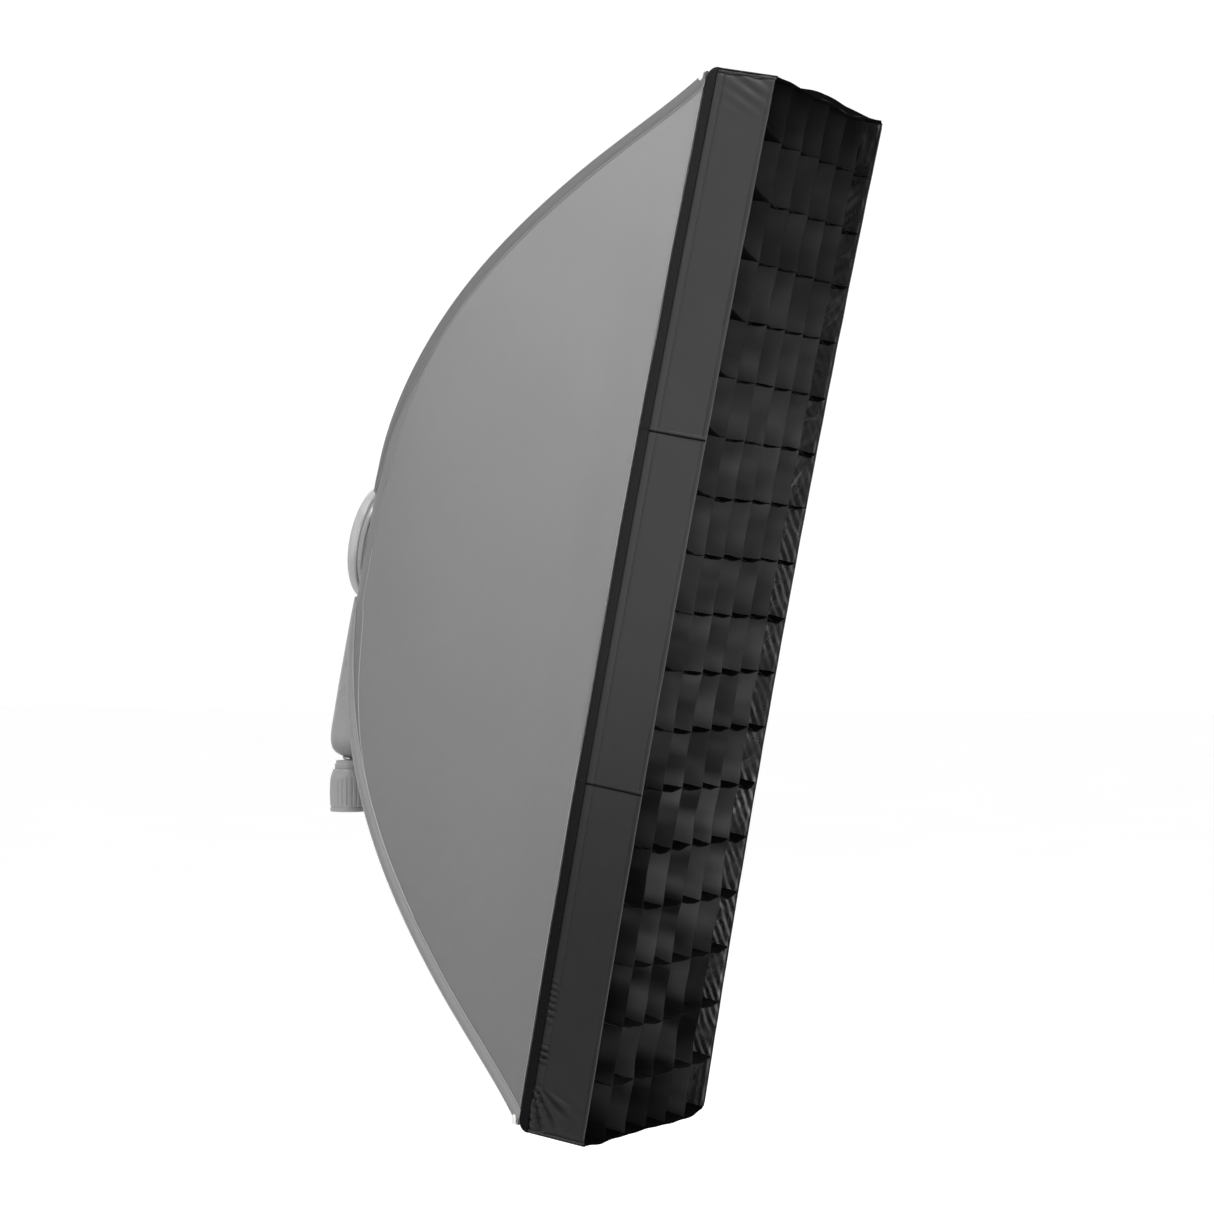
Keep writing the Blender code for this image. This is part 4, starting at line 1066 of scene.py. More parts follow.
ib = b_at(0.140)
iu, iw, ic = float(a_of(ib)) - 0.0050, ib - 0.0050, 0.016
for sw, wname, rod in ((1, "upper", "rod_body_upper_right"), (-1, "lower", "rod_body_lower_right")):
    w = sw * np.concatenate([np.linspace(0, iw - ic, 30), np.linspace(iw - ic, iw, 5)[1:]])[:, None]
    half = np.where(np.abs(w) > iw - ic, iu - (np.abs(w) - iw + ic), iu)
    # it is held at its corners, so its long edges pull in between them
    half = half - 0.0145 * np.sin(math.pi * np.clip(np.abs(w) / (iw - ic), 0, 1)) ** 0.8
    u = half * np.linspace(-1, 1, 25)[None, :]
    sagv = 0.0020 * (1 - (u / iu) ** 2) * (1 - (w / iw) ** 2)
    P = W(np.stack([u, 0.140 + sagv, w + 0 * u], -1))
    N = grid_normals(P, WN(np.array([0, 1.0, 0])))
    cl = np.stack([u, w + 0 * u, 0 * u], -1)
    ob = make("inner_diffuser_" + wname, [shell(P, N, 0.0007, cloth=cl, mats=(0, 0, 0))], [M_WHITE], None, normals=True)
    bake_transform(ob)
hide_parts("inner_diffuser")

# ------------------------------------------------------------------ grid
G0, BIND, SKIRT_T, STRIP_T = 0.0004, 0.0080, 0.0016, 0.0006
IN_U, IN_W = HALF_W - SKIRT_T - 0.0004, HALF_L - SKIRT_T - 0.0004
S0, S1 = G0 + BIND + 0.0008, GRID_DEPTH - 0.0008
MID = (S0 + S1) / 2
US = [-HALF_W + 2 * HALF_W * k / 6 for k in range(1, 6)]
WS = [-HALF_L + 2 * HALF_L * k / 18 for k in range(1, 18)]
rg = np.random.default_rng(23)
DOWN = np.clip(1 - (np.arange(18) - 1.0) / 8.0, 0, 1)          # cells count from the bottom: slacker towards it
CU, CW = rg.normal(0, 0.0006, (5, 17)) * (0.6 + 1.6 * DOWN[:17]), rg.normal(0, 0.0005, (17, 5)) * (0.7 + 1.2 * DOWN[:17, None])
BL = rg.uniform(-1, 1, (5, 18)) * (0.0008 + 0.0022 * DOWN) + np.array([0.0005, 0, 0.0004, 0, 0.0006])[:, None]
TW = rg.uniform(-1, 1, (5, 18)) * (0.0005 + 0.0013 * DOWN)
SG = rg.uniform(0.0010, 0.0032, (17, 6)) + 0.0018 * DOWN[:17, None] * rg.uniform(0.5, 1.2, (17, 6))
SG[:, 0] += rg.uniform(0.001, 0.004, 17)
SG[:, 5] *= 0.3
SK = rg.uniform(-0.30, 0.30, (17, 6))
ARCS = np.clip(1.15 - np.arange(17) / 4.5, 0, 1)
SG[:3] *= 0.35
SG[3] *= 0.7
LIFT = rg.uniform(0.0050, 0.0085, 17) + 0.0035 * smooth((np.arange(17) - 11) / 5.0)
grid_objects = []


def warp(u, v, w):
    """The grid's slack: its front edge follows the bowed rim, and the top and bottom of the skirt sag between the corners."""
    u, v, w = np.broadcast_arrays(np.asarray(u, float), np.asarray(v, float), np.asarray(w, float))
    front = np.clip(v / GRID_DEPTH, 0, 1)
    x = (HALF_W - u) / (2 * HALF_W)
    ends = smooth(x / 0.16) * smooth((1 - x) / 0.10)
    top, bot = smooth((w - 0.405) / 0.04), smooth((-w - 0.405) / 0.04)
    dw = -top * front ** 4.5 * ends * (0.0092 * bump_at(x, 0.70, 0.17) + 0.0040 * bump_at(x, 0.38, 0.16))
    dw = dw - bot * front ** 1.3 * ends * (0.0018 + 0.0030 * bump_at(x, 0.80, 0.22))
    dw = dw + top * bump_at(front, 0.64, 0.26) * ends * 0.0084 * bump_at(x, 0.64, 0.27)
    # the rear edge draws in towards each end
    tuck = smooth((np.abs(w) - (HALF_L - 0.030)) / 0.030) * np.clip(1 - v / 0.0065, 0, 1) ** 2
    dw = dw - np.sign(w) * 0.0040 * tuck
    return u, DEPTH + v + rim_bow(u, w), w + dw


def nodes_at(x, xs, vals):
    """Smooth steps through values at nodes, zero past both ends."""
    xs = np.concatenate([[xs[0] - (xs[1] - xs[0])], xs, [xs[-1] + (xs[1] - xs[0])]])
    vals = np.concatenate([[0], vals, [0]])
    i = np.clip(np.searchsorted(xs, x) - 1, 0, len(xs) - 2)
    t = smooth((x - xs[i]) / (xs[i + 1] - xs[i]))
    return vals[i] + (vals[i + 1] - vals[i]) * t


def strip_columns(half, centres, sub):
    cols = [-half]
    for c in list(centres) + [half + 0.0008]:
        a0 = cols[-1]
        cols += list(np.linspace(a0, c - 0.0008, sub + 1)[1:])
        if c < half:
            cols.append(c + 0.0008)
    return np.array(cols)


SUB = 10
VROWS = np.concatenate([np.linspace(S0, MID, 8), np.linspace(MID, S1 - 0.0016, 8)[1:], [S1 - 0.0006, S1]])
strip_names = []
# long strips run along w
cols = strip_columns(IN_W, WS, SUB)
for k, u0 in enumerate(US):
    w, v = cols[None, :], VROWS[:, None]
    front = np.clip(v / GRID_DEPTH, 0, 1)
    f = 0.25 + 0.75 * front
    cell = np.clip(((cols + HALF_L) / 0.05).astype(int), 0, 17)
    s = np.clip((cols + HALF_L) / 0.05 - cell, 0, 1)
    du = nodes_at(cols, np.array(WS), CU[k])[None, :] * f
    du = du + (BL[k][cell] * np.sin(math.pi * s) ** 1.2)[None, :] * (0.15 + 0.85 * front ** 1.2)
    du = du + (TW[k][cell] * np.sin(2 * math.pi * s))[None, :] * front
    du = du + 0.00035 * waves(w, v, 71 + k, 0.035)
    dw = nodes_at(cols, np.array(WS), CW[:, k])[None, :] * f
    dv = -0.0006 * np.sin(math.pi * s)[None, :] * front ** 4
    uu, vv, ww = warp(u0 + du, v + dv, w + dw)
    P = W(np.stack([uu, vv, ww], -1))
    N = grid_normals(P, np.array([1.0, 0, 0]))
    t = STRIP_T + 0 * w + 0 * v
    slot_col = np.zeros(len(cols) - 1, bool)
    for c in WS:
        slot_col |= (np.abs((cols[1:] + cols[:-1]) / 2 - c) < 0.0004)
    low = (VROWS[1:] + VROWS[:-1]) / 2 < MID
    keep = ~(low[:, None] & slot_col[None, :])
    cl = np.stack(np.broadcast_arrays(w, v, 0.01 * k), -1)
    edge = 0 * smooth(v) + 0 * w
    name = f"strip_long_{k + 1}"
    ob = make(name, [shell(P + N * (t / 2)[..., None], N, t, keep=keep, cloth=cl, edge=edge, mats=(0, 0, 1))], [M_STRIP_NEAR_SHADOWED if k == len(US) - 1 else M_STRIP, M_STRIP_EDGE_SHADED], "grid",
              sharp=50)
    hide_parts(f"grid_long_{k + 1}")
    grid_objects.append(ob)
# short strips run along u
cols = strip_columns(IN_U, US, SUB + 2)
for j, w0 in enumerate(WS):
    u, v = cols[None, :], VROWS[:, None]
    front = np.clip(v / GRID_DEPTH, 0, 1)
    f = 0.25 + 0.75 * front
    cell = np.clip(((cols + HALF_W) / 0.05).astype(int), 0, 5)
    s = np.clip((cols + HALF_W) / 0.05 - cell, 0, 1)
    dw = nodes_at(cols, np.array(US), CW[j])[None, :] * f
    dw = dw - (SG[j][cell] * np.sin(math.pi * s ** (1 + SK[j][cell])))[None, :] * (0.05 + 0.95 * front ** 1.5)
    dw = dw - (0.0055 * ARCS[j] * (1 - ((cols + 0.02) / 0.17) ** 2))[None, :] * front ** 1.3
    lift = np.clip((cols - US[-1]) / (IN_U - US[-1]), 0, 1) ** 1.3
    dw = dw + (LIFT[j] * lift)[None, :] * front
    dw = dw + 0.0003 * waves(u, v, 91 + j, 0.03)
    du = nodes_at(cols, np.array(US), CU[:, j])[None, :] * f
    uu, vv, ww = warp(u + du, v + 0 * u, w0 + dw)
    P = W(np.stack([uu, vv, ww], -1))
    N = grid_normals(P, np.array([0, 0, 1.0]))
    t = STRIP_T + 0 * u + 0 * v
    slot_col = np.zeros(len(cols) - 1, bool)
    for c in US:
        slot_col |= (np.abs((cols[1:] + cols[:-1]) / 2 - c) < 0.0004)
    high = (VROWS[1:] + VROWS[:-1]) / 2 > MID
    keep = ~(high[:, None] & slot_col[None, :])
    cl = np.stack(np.broadcast_arrays(u, v, 0.5 + 0.01 * j), -1)
    # the front edge is marked for the lighter edge colour: a painted highlight
    edge = smooth((v - (S1 - 0.0012)) / 0.0006) + 0 * u
    ob = make(f"strip_short_{j + 1:02d}", [shell(P + N * (t / 2)[..., None], N, t, keep=keep, cloth=cl, edge=edge, mats=(0, 0, 0))],
              [M_STRIP_CROSS], "grid", sharp=50)
    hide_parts(f"grid_short_{j + 1:02d}")
    grid_objects.append(ob)

# skirt: one closed loop with a sewn channel behind and a folded hem in front
def along(q, qn):
    """A coordinate that runs round the outline without a break on the near side."""
    return np.select([(np.abs(qn[:, 0]) >= 0.7) & (q[:, 0] > 0), q[:, 1] > HALF_L * 0.9, q[:, 1] < -HALF_L * 0.9],
                     [q[:, 1], HALF_L + HALF_W - q[:, 0], -HALF_L - HALF_W + q[:, 0]], 2 * HALF_L + 2 * HALF_W - q[:, 1])


SEAMS = (0.146, -0.152)
q, qn, L = outline(HALF_W, HALF_L, 0.008, 0.0022, fine=0.0009)
X = along(q, qn)[None, :]
u0, w0 = q[:, 0][None, :], q[:, 1][None, :]
nu, nw = qn[:, 0][None, :], qn[:, 1][None, :]
prof = [(0.0082, -1.6), (0.0086, -0.7), (0.0094, -0.1), (0.0106, 0.25), (0.0122, 0.40), (0.0138, 0.35), (0.0150, 0.1), (0.0158, -0.40), (0.0166, -0.1),
        (0.0180, 0.1)] + [(x, 0.1) for x in np.linspace(0.0200, 0.0545, 20)] + \
       [(0.0556, 0.05), (0.0564, -0.25), (0.0571, 0.15), (0.0585, 0.3), (0.0595, 0.2), (0.0600, -0.3)]
v = np.array([p[0] for p in prof])[:, None]
o = np.array([p[1] for p in prof])[:, None] * 1e-3 + 0 * u0
fr = np.clip(v / GRID_DEPTH, 0, 1)
side_far, side_near = (u0 < -HALF_W + 0.004), (u0 > HALF_W - 0.004)
# gathers in the channel, strongest low on the near side
chan = bump_at(v, 0.0122, 0.0034)
low_near = smooth((-w0 - 0.275) / 0.05) * side_near
o = o + chan * 0.00006 * np.sin(X * 2 * math.pi / 0.0200)
o = o + chan * low_near * (0.55 + 0.35 * waves(X, 0, 4, 0.04)) * 0.0017 * np.sin(X * 2 * math.pi / 0.0058 + v * 120 + 1.6 * waves(X, 0, 3, 0.05))
# drag lines fanning out of the lower rear corner
px, py = v - 0.004, w0 + 0.405
ang = np.arctan2(-py, np.maximum(px, 1e-4))
dist = np.hypot(px, py)
fan = np.exp(-((dist - 0.030) / 0.017) ** 2) * smooth((ang - 0.15) / 0.35) * (1 - smooth((ang - 1.30) / 0.25)) * side_near
o = o + fan * 0.0021 * np.sin(ang * 19.0 + 0.9 * waves(px, py, 8, 0.05))
corner = bump_at(w0, -0.440, 0.012) * bump_at(v, 0.016, 0.010) * side_near
o = o + corner * 0.0008 * np.sin((w0 * 1.1 - v * 0.5) * 2 * math.pi / 0.0085)
corner = bump_at(w0, 0.437, 0.018) * bump_at(v, 0.040, 0.018) * side_near
o = o + corner * 0.0011 * np.sin((w0 * 1.1 + v * 0.5) * 2 * math.pi / 0.012)


def far_slack(w, v):
    """Slack folds on the far side, where each short strip pulls the cloth."""
    cellw = (w + HALF_L) / 0.05
    ph = cellw - np.floor(cellw)
    amp = 0.5 + 0.5 * np.sin(np.floor(cellw) * 2.3)
    tilt_ = 0.9 + 0.7 * np.sin(np.floor(cellw) * 4.1 + 1.0)
    deep = np.sin(math.pi * np.clip(v / GRID_DEPTH / 0.97, 0, 1))
    fine_ = np.sin((w - v * tilt_ + 0.004 * waves(w, v, 19, 0.05)) * 2 * math.pi / (0.020 + 0.004 * amp))
    slack = 0.0034 * deep * np.sin(math.pi * ph) * (0.4 + amp) + 0.0019 * deep * fine_ * np.sqrt(np.sin(math.pi * ph))
    return slack * smooth((0.445 - np.abs(w)) / 0.02)


o = o + side_far * far_slack(w0, v)
o = o + side_near * (0.00025 * waves(w0, v, 13, 0.10)) * fr
o = o + 0.0002 * waves(X, v, 17, 0.05) * fr * smooth((v - 0.018) / 0.01)
uu, vv, ww = warp(u0 + nu * o, v + 0 * u0, w0 + nw * o)
P = W(np.stack([uu, vv, ww], -1))
N = grid_normals(P, WN(np.broadcast_to(np.stack([nu, 0 * nu, nw], -1), P.shape)), wrap=True)
cl = np.stack(np.broadcast_arrays(X, v, 0.0), -1)
# the near side's front hem is marked for the lighter edge colour: a painted highlight
edge = smooth((v - 0.0588) / 0.0008) * (side_near & (np.abs(w0) < HALF_L - 0.006))
thick = 0.0012 + 0 * v + 0 * u0
skirt = make("grid_skirt_cloth", [shell(P, N, thick, wrap=True, cloth=cl, edge=edge)], [M_SKIRT, M_SKIRT_IN, M_SKIRT_ENDS_SHADED, M_END_IN], "grid")
cols_n = P.shape[1]
# the top and bottom lengths of the skirt take the darker copies of its cloth and lining: painted shade
shade = np.abs(qn[:, 1]) > 0.8
for poly in skirt.data.polygons:
    if shade[min(i % cols_n for i in poly.vertices)]:
        poly.material_index += 2
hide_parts("grid_skirt")
grid_objects.append(skirt)


def skirt_line(v, o, near_only=False):
    i = np.where(q[:, 0] > HALF_W - 1e-6)[0] if near_only else np.arange(len(q))
    if near_only:
        i = i[np.argsort(q[i, 1])]
    oo = o + np.where(q[i, 0] < -HALF_W + 0.004, far_slack(q[i, 1], v + 0 * q[i, 1]), 0.0)
    uu, vv, ww = warp(q[i, 0] + qn[i, 0] * oo, v, q[i, 1] + qn[i, 1] * oo)
    P = W(np.stack([uu, vv, ww], -1))
    N = WN(np.stack([qn[i, 0], 0 * uu, qn[i, 1]], -1))
    return (P, N) if near_only else (np.concatenate([P, P[:1]]), np.concatenate([N, N[:1]]))


parts = []
for vl, ol in ((0.0158, -0.0002), (0.0563, -0.00015)):
    P_, N_ = skirt_line(vl, ol)
    parts.append(stitches(P_, N_, pitch=0.0028, length=0.0021, r=0.00024))
ob = make("skirt_stitches", parts, [M_THREAD_BLACK], "grid")
grid_objects.append(ob)
P_, N_ = skirt_line(0.0597, 0.0002, True)
ob = make("skirt_edge_stitches", [stitches(P_, N_, pitch=0.0026, length=0.0016, r=0.00018)], [M_THREAD_EDGE], "grid")
grid_objects.append(ob)
# cross seams of the near side, where lengths of cloth and tape are joined: an overlap with its row of stitches
parts, threads_, tabs = [], [], []
for ws in SEAMS:
    vv_ = np.linspace(0.0090, 0.0594, 40)[None, :]
    slope = ws - 0.00 * vv_
    dd = np.array([0.0, 0.0003, 0.0010, 0.0026, 0.0032])[:, None]
    oo = np.array([-0.0004, 0.00012, 0.00016, 0.00008, -0.0004])[:, None]
    body_o = np.interp(vv_[0], [p[0] for p in prof], [p[1] * 1e-3 for p in prof])[None, :]
    uu, vv, ww = warp(HALF_W + body_o + oo + 0 * dd, vv_ + 0 * dd, slope + dd)
    P = W(np.stack([uu, vv, ww], -1))
    N = grid_normals(P, WN(np.array([1.0, 0, 0])))
    parts.append(shell(P, N, 0.0006, cloth=np.stack(np.broadcast_arrays(ws + dd, vv_, 0.0), -1), mats=(0, 0, 0)))
    threads_.append(tube(P[0] + N[0] * 0.0003, 0.00085, 8))
    threads_.append(stitches(P[2], N[2], pitch=0.0028, length=0.0018, r=0.00014, lift=0.00003))
    # the ends of the binding tape meet here
    vt = np.linspace(0.0006, 0.0080, 8)[None, :]
    dt = np.array([-0.0012, -0.0009, 0.0, 0.0009, 0.0012])[:, None]
    ot = np.array([0.0004, 0.0012, 0.0013, 0.0012, 0.0004])[:, None]
    uu, vv, ww = warp(HALF_W + ot + 0 * vt, vt + 0 * dt, ws + 0.0010 + dt + 0 * vt)
    P = W(np.stack([uu, vv, ww], -1))
    tabs.append(shell(P, grid_normals(P, WN(np.array([1.0, 0, 0]))), 0.0008, cloth=np.stack(np.broadcast_arrays(ws + dt, vt, 0.0), -1), mats=(0, 0, 0)))
ob = make("skirt_cross_seams", parts, [M_SKIRT], "grid")
grid_objects.append(ob)
ob = make("skirt_seam_stitches", threads_, [M_END_IN], "grid")
grid_objects.append(ob)
ob = make("binding_tape_ends", tabs, [M_TAPE_END], "grid")
grid_objects.append(ob)

# binding tape round the rear edge
q2, qn2, L2 = outline(HALF_W + 0.0006, HALF_L + 0.0006, 0.008, 0.004)
X2 = along(q2, qn2)[None, :]
prof2 = [(0.0004, -0.0012), (0.0005, -0.0003), (0.0011, 0.0002), (0.0030, 0.00045), (0.0050, 0.0005), (0.0068, 0.00045), (0.0080, 0.0003), (0.0086, -0.0001), (0.0087, -0.0012)]
v = np.array([p[0] for p in prof2])[:, None]
o = np.array([p[1] for p in prof2])[:, None] + 0.00008 * waves(X2, v, 7, 0.02)
uu, vv, ww = warp(q2[:, 0][None, :] + qn2[:, 0][None, :] * o, v + 0 * o, q2[:, 1][None, :] + qn2[:, 1][None, :] * o)
P = W(np.stack([uu, vv, ww], -1))
N = grid_normals(P, WN(np.broadcast_to(np.stack([qn2[:, 0], 0 * qn2[:, 0], qn2[:, 1]], -1)[None], P.shape)), wrap=True)
cl = np.stack(np.broadcast_arrays(X2, v, 0.0), -1)
ob = make("grid_binding_tape", [shell(P, N, 0.0012, wrap=True, cloth=cl, mats=(0, 0, 0))], [M_BIND], "grid")
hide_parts("grid_binding")
grid_objects.append(ob)

# the tape's lip lies flat on the front of the rim
q3, qn3, L3 = outline(HALF_W - 0.0008, HALF_L - 0.0008, 0.0105, 0.005)
inset = np.array([0.0, 0.0025, 0.0050, 0.0076])[:, None]
uu, vv, ww = warp(q3[:, 0][None, :] - qn3[:, 0][None, :] * inset, 0.0012 + 0 * inset + 0 * q3[:, 0][None, :], q3[:, 1][None, :] - qn3[:, 1][None, :] * inset)
P = W(np.stack([uu, vv, ww], -1))
N = grid_normals(P, WN(np.array([0, -1.0, 0])), wrap=True)
cl = np.stack(np.broadcast_arrays(along(q3, qn3)[None, :], inset, 0.0), -1)
ob = make("binding_tape_lip", [shell(P, N, 0.0007, wrap=True, cloth=cl, mats=(0, 0, 0))], [M_BIND], "grid")
grid_objects.append(ob)

# corner seams of the skirt: two cords side by side
parts = []
for sx in (1, -1):
    for sw in (1, -1):
        for du, dw, r in ((0.0, -0.0022, 0.0008), (-0.0048, 0.0003, 0.0007)):
            vv = np.linspace(0.0094, 0.0596, 24)
            au, aw = HALF_W - 0.0004 + du, HALF_L - 0.0004 + dw
            x, y, z = warp(sx * au + 0 * vv, vv, sw * aw + 0 * vv)
            parts.append(tube(W(np.stack([x, y, z], -1)), r, 8))
ob = make("skirt_corner_piping", parts, [M_PIPE_BLACK], "grid")
grid_objects.append(ob)

for ob in grid_objects:
    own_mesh(ob)

# ------------------------------------------------------------------ hub
BORE_R, HUB_R = 0.0340, 0.0490


HUB_RISE = 0.0030


def rise_outer(part, rise):
    """The hub's outer wall stands a little higher than its bore: it is slightly egg-shaped."""
    up_ = WN(np.array([0.0, 0.0, 1.0]))
    d = part["v"] - W(np.array([0.0, 0.0, 0.0]))
    r = np.hypot(d[:, 0], d @ up_)
    part["v"] = part["v"] + up_ * (rise * smooth((r - 0.0440) / 0.0060))[:, None]
    return part


def ring(name, profile, r, mats, body, slot, nodes, seg=256, step=0.002, sharp=None, rise=0.0):
    pr = dense(fillet(profile, r), step)
    part = lathe(pr, seg)
    ob = make(name, [rise_outer(part, rise) if rise else part], mats, body, sharp=sharp)
    if nodes:
        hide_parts(*nodes)
    return ob


# the cover is a shell that laps forward over the ring behind it
ring("hub_cover_ring", [(0.0440, -0.0066), (0.0500, -0.0066), (0.0504, -0.0060), (0.0508, -0.0052), (0.0518, -0.0060), (0.0524, -0.0072), (0.0525, -0.0118), (0.0517, -0.0138),
                        (0.0490, -0.0154), (0.0450, -0.0168), (0.0405, -0.0180), (0.0370, -0.0184), (0.0362, -0.0180), (0.0362, -0.0170), (0.0440, -0.0150)],
     [0.0003, 0.0003, 0.0003, 0.0003, 0.0004, 0.0006, 0.002, 0.002, 0.003, 0.002, 0.002, 0.0006, 0.0004, 0.0003, 0.0003], [M_HUB], "head", "hub_grey", ["hub_rear_cover"], rise=HUB_RISE)
ring("mount_face_ring", [(BORE_R + 0.001, -0.0146), (0.0430, -0.0146), (0.0361, -0.0166), (0.0361, -0.0190), (0.0356, -0.0195), (BORE_R + 0.001, -0.0190)],
     [0.0003, 0.0003, 0.0003, 0.0003, 0.0004, 0.0004], [M_MOUNT], "head", "ring_metal", ["mount_ring"])
ring("bearing_ring_smooth", [(0.0372, -0.0041), (0.0460, -0.0041), (0.0460, -0.0062), (0.0372, -0.0062)], 0.0004, [M_BLACK], "head", "black_nylon",
     ["bearing_ring"])

# the edge of the speedring's flange, between the hub and the cloth
ring("speedring_flange_edge", [(0.0467, 0.0022), (0.0512, 0.0022), (0.0512, 0.0008), (0.0467, 0.0008)], 0.0003, [M_RING], "softbox", "moulded_grey", [])

# speedring: flange, barrel and four hinge brackets
parts = [lathe(dense(fillet([(BORE_R, 0.0200), (0.0390, 0.0200), (0.0390, 0.0005), (0.0465, 0.0005), (0.0465, -0.0037), (BORE_R, -0.0037)],
                            [0.0006, 0.0006, 0.0004, 0.0003, 0.0008, 0.0005]), 0.002), 192)]


def rounded_box(lo, hi, r=0.0005):
    lo, hi = np.array(lo, float), np.array(hi, float)
    bm = bmesh.new()
    bmesh.ops.create_cube(bm, size=1.0)
    for vtx in bm.verts:
        vtx.co = Vector(((lo[k] + hi[k]) / 2 + vtx.co[k] * (hi[k] - lo[k]) for k in range(3)))
    bmesh.ops.bevel(bm, geom=list(bm.edges), offset=r, segments=2, profile=0.5, affect="EDGES")
    bmesh.ops.triangulate(bm, faces=bm.faces)
    v = np.array([x.co for x in bm.verts])
    bm.verts.index_update()
    t = np.array([[x.index for x in f.verts] for f in bm.faces])
    bm.free()
    return dict(v=W(v), f=np.zeros((0, 4), int), t=t, m=np.zeros(len(t), int), c=np.zeros((len(v), 3)), e=np.zeros(len(v)))


for sx in (1, -1):
    for sw in (1, -1):
        for lo, hi in (((0.0290, 0.0062, 0.0255), (0.0428, 0.0088, 0.0580)), ((0.0294, 0.0080, 0.0300), (0.0326, 0.0182, 0.0575)),
                       ((0.0394, 0.0080, 0.0450), (0.0426, 0.0182, 0.0575))):
            x, z = sorted((sx * lo[0], sx * hi[0])), sorted((sw * lo[2], sw * hi[2]))
            parts.append(rounded_box((x[0], lo[1], z[0]), (x[1], hi[1], z[1])))
ob = make("speedring_body", parts, [M_RING], "softbox", sharp=35)
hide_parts("speedring")

# hub front ring with the handle moulded on
LEVELS = np.array([(-0.0300, 0.0155, -0.0190, -0.0010), (-0.0500, 0.0170, -0.0196, -0.0008), (-0.0700, 0.0172, -0.0201, 0.0002),
                   (-0.1000, 0.0168, -0.0206, 0.0026), (-0.1300, 0.0160, -0.0212, 0.0060), (-0.1550, 0.0150, -0.0212, 0.0090),
                   (-0.1700, 0.0142, -0.0212, 0.0102), (-0.1800, 0.0130, -0.0198, 0.0096), (-0.1866, 0.0108, -0.0166, 0.0074),
                   (-0.1896, 0.0082, -0.0118, 0.0048), (-0.1905, 0.0058, -0.0078, 0.0030)])
t0 = np.concatenate([[0], np.cumsum(np.hypot(np.diff(LEVELS[:, 0]), np.diff(LEVELS[:, 2])))])
tt = np.linspace(0, t0[-1], 90)


def spline(x, xs, ys):
    """Monotone-ish cubic through points."""
    d = np.diff(ys) / np.diff(xs)
    m = np.concatenate([[d[0]], (d[1:] + d[:-1]) / 2, [d[-1]]])
    i = np.clip(np.searchsorted(xs, x) - 1, 0, len(xs) - 2)
    h = xs[i + 1] - xs[i]
    t = (x - xs[i]) / h
    return ((1 + 2 * t) * (1 - t) ** 2 * ys[i] + t * (1 - t) ** 2 * h * m[i] + t * t * (3 - 2 * t) * ys[i + 1] + t * t * (t - 1) * h * m[i + 1])


lw, lh, lr, lf = (spline(tt, t0, LEVELS[:, k]) for k in range(4))
aa = np.linspace(0, 2 * math.pi, 64, endpoint=False)
cc, ss = np.cos(aa), np.sin(aa)
cu = lh[:, None] * (np.sign(cc) * np.abs(cc) ** 0.82)[None, :]
cv = (lr + lf)[:, None] / 2 + (lf - lr)[:, None] / 2 * (np.sign(ss) * np.abs(ss) ** 0.82)[None, :]
arm = part_object("arm_loft", [solid(W(np.stack([cu, cv, lw[:, None] + 0 * cu], -1)))])


def cutter_lathe(profile, seg=160, **k):
    ob = part_object("cut", [lathe(profile, seg, **k)])
    ob.hide_render = True
    return ob


def cylinder_v(r, v0, v1, seg=160):
    return part_object("cut", [solid(W(np.stack([np.stack([r * np.cos(x), np.full(seg, v), r * np.sin(x)], -1) for v in (v0, v1)])))
                               for x in [np.linspace(0, 2 * math.pi, seg, endpoint=False)]])


def boolean(ob, tool, op):
    m = ob.modifiers.new("b", "BOOLEAN")
    m.operation, m.object, m.solver = op, tool, "EXACT"
    applied(ob)
    bpy.data.objects.remove(tool)


boolean(arm, cylinder_v(0.0497, -0.060, -0.0049), "DIFFERENCE")
boolean(arm, cylinder_v(0.0476, -0.0300, 0.060), "DIFFERENCE")
armring = part_object("cut", [rise_outer(lathe([(0.0372, -0.0068), (0.0480, -0.0068), (0.0480, -0.0006), (0.0486, 0.0002), (0.0504, 0.0002), (0.0512, -0.0006),
                                                (0.0516, -0.0020), (0.0516, -0.0046), (0.0500, -0.0052), (0.0498, -0.0070), (0.0436, -0.0070), (0.0436, -0.0133),
                                                (0.0372, -0.0133)], 200), HUB_RISE)])
boolean(arm, armring, "UNION")
seat = part_object("cut", [solid(W(np.stack([np.stack([0.0037 * np.cos(x), np.full(48, v), 0.0037 * np.sin(x) - 0.1800], -1) for v in (-0.030, -0.0172)])))
                           for x in [np.linspace(0, 2 * math.pi, 48, endpoint=False)]])
boolean(arm, seat, "DIFFERENCE")
m = arm.modifiers.new("remesh", "REMESH")
m.mode, m.voxel_size, m.use_smooth_shade = "VOXEL", (0.00065), True
applied(arm)
m = arm.modifiers.new("round", "SMOOTH")
m.factor, m.iterations = 0.5, 5
applied(arm)
arm.name = arm.data.name = "hub_handle"
arm.data.materials.clear()
arm.data.materials.append(M_ARM)
arm.data.polygons.foreach_set("material_index", np.zeros(len(arm.data.polygons), np.int32))
arm.data.polygons.foreach_set("use_smooth", np.ones(len(arm.data.polygons), bool))
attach(arm, "head")
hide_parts("hub_arm")

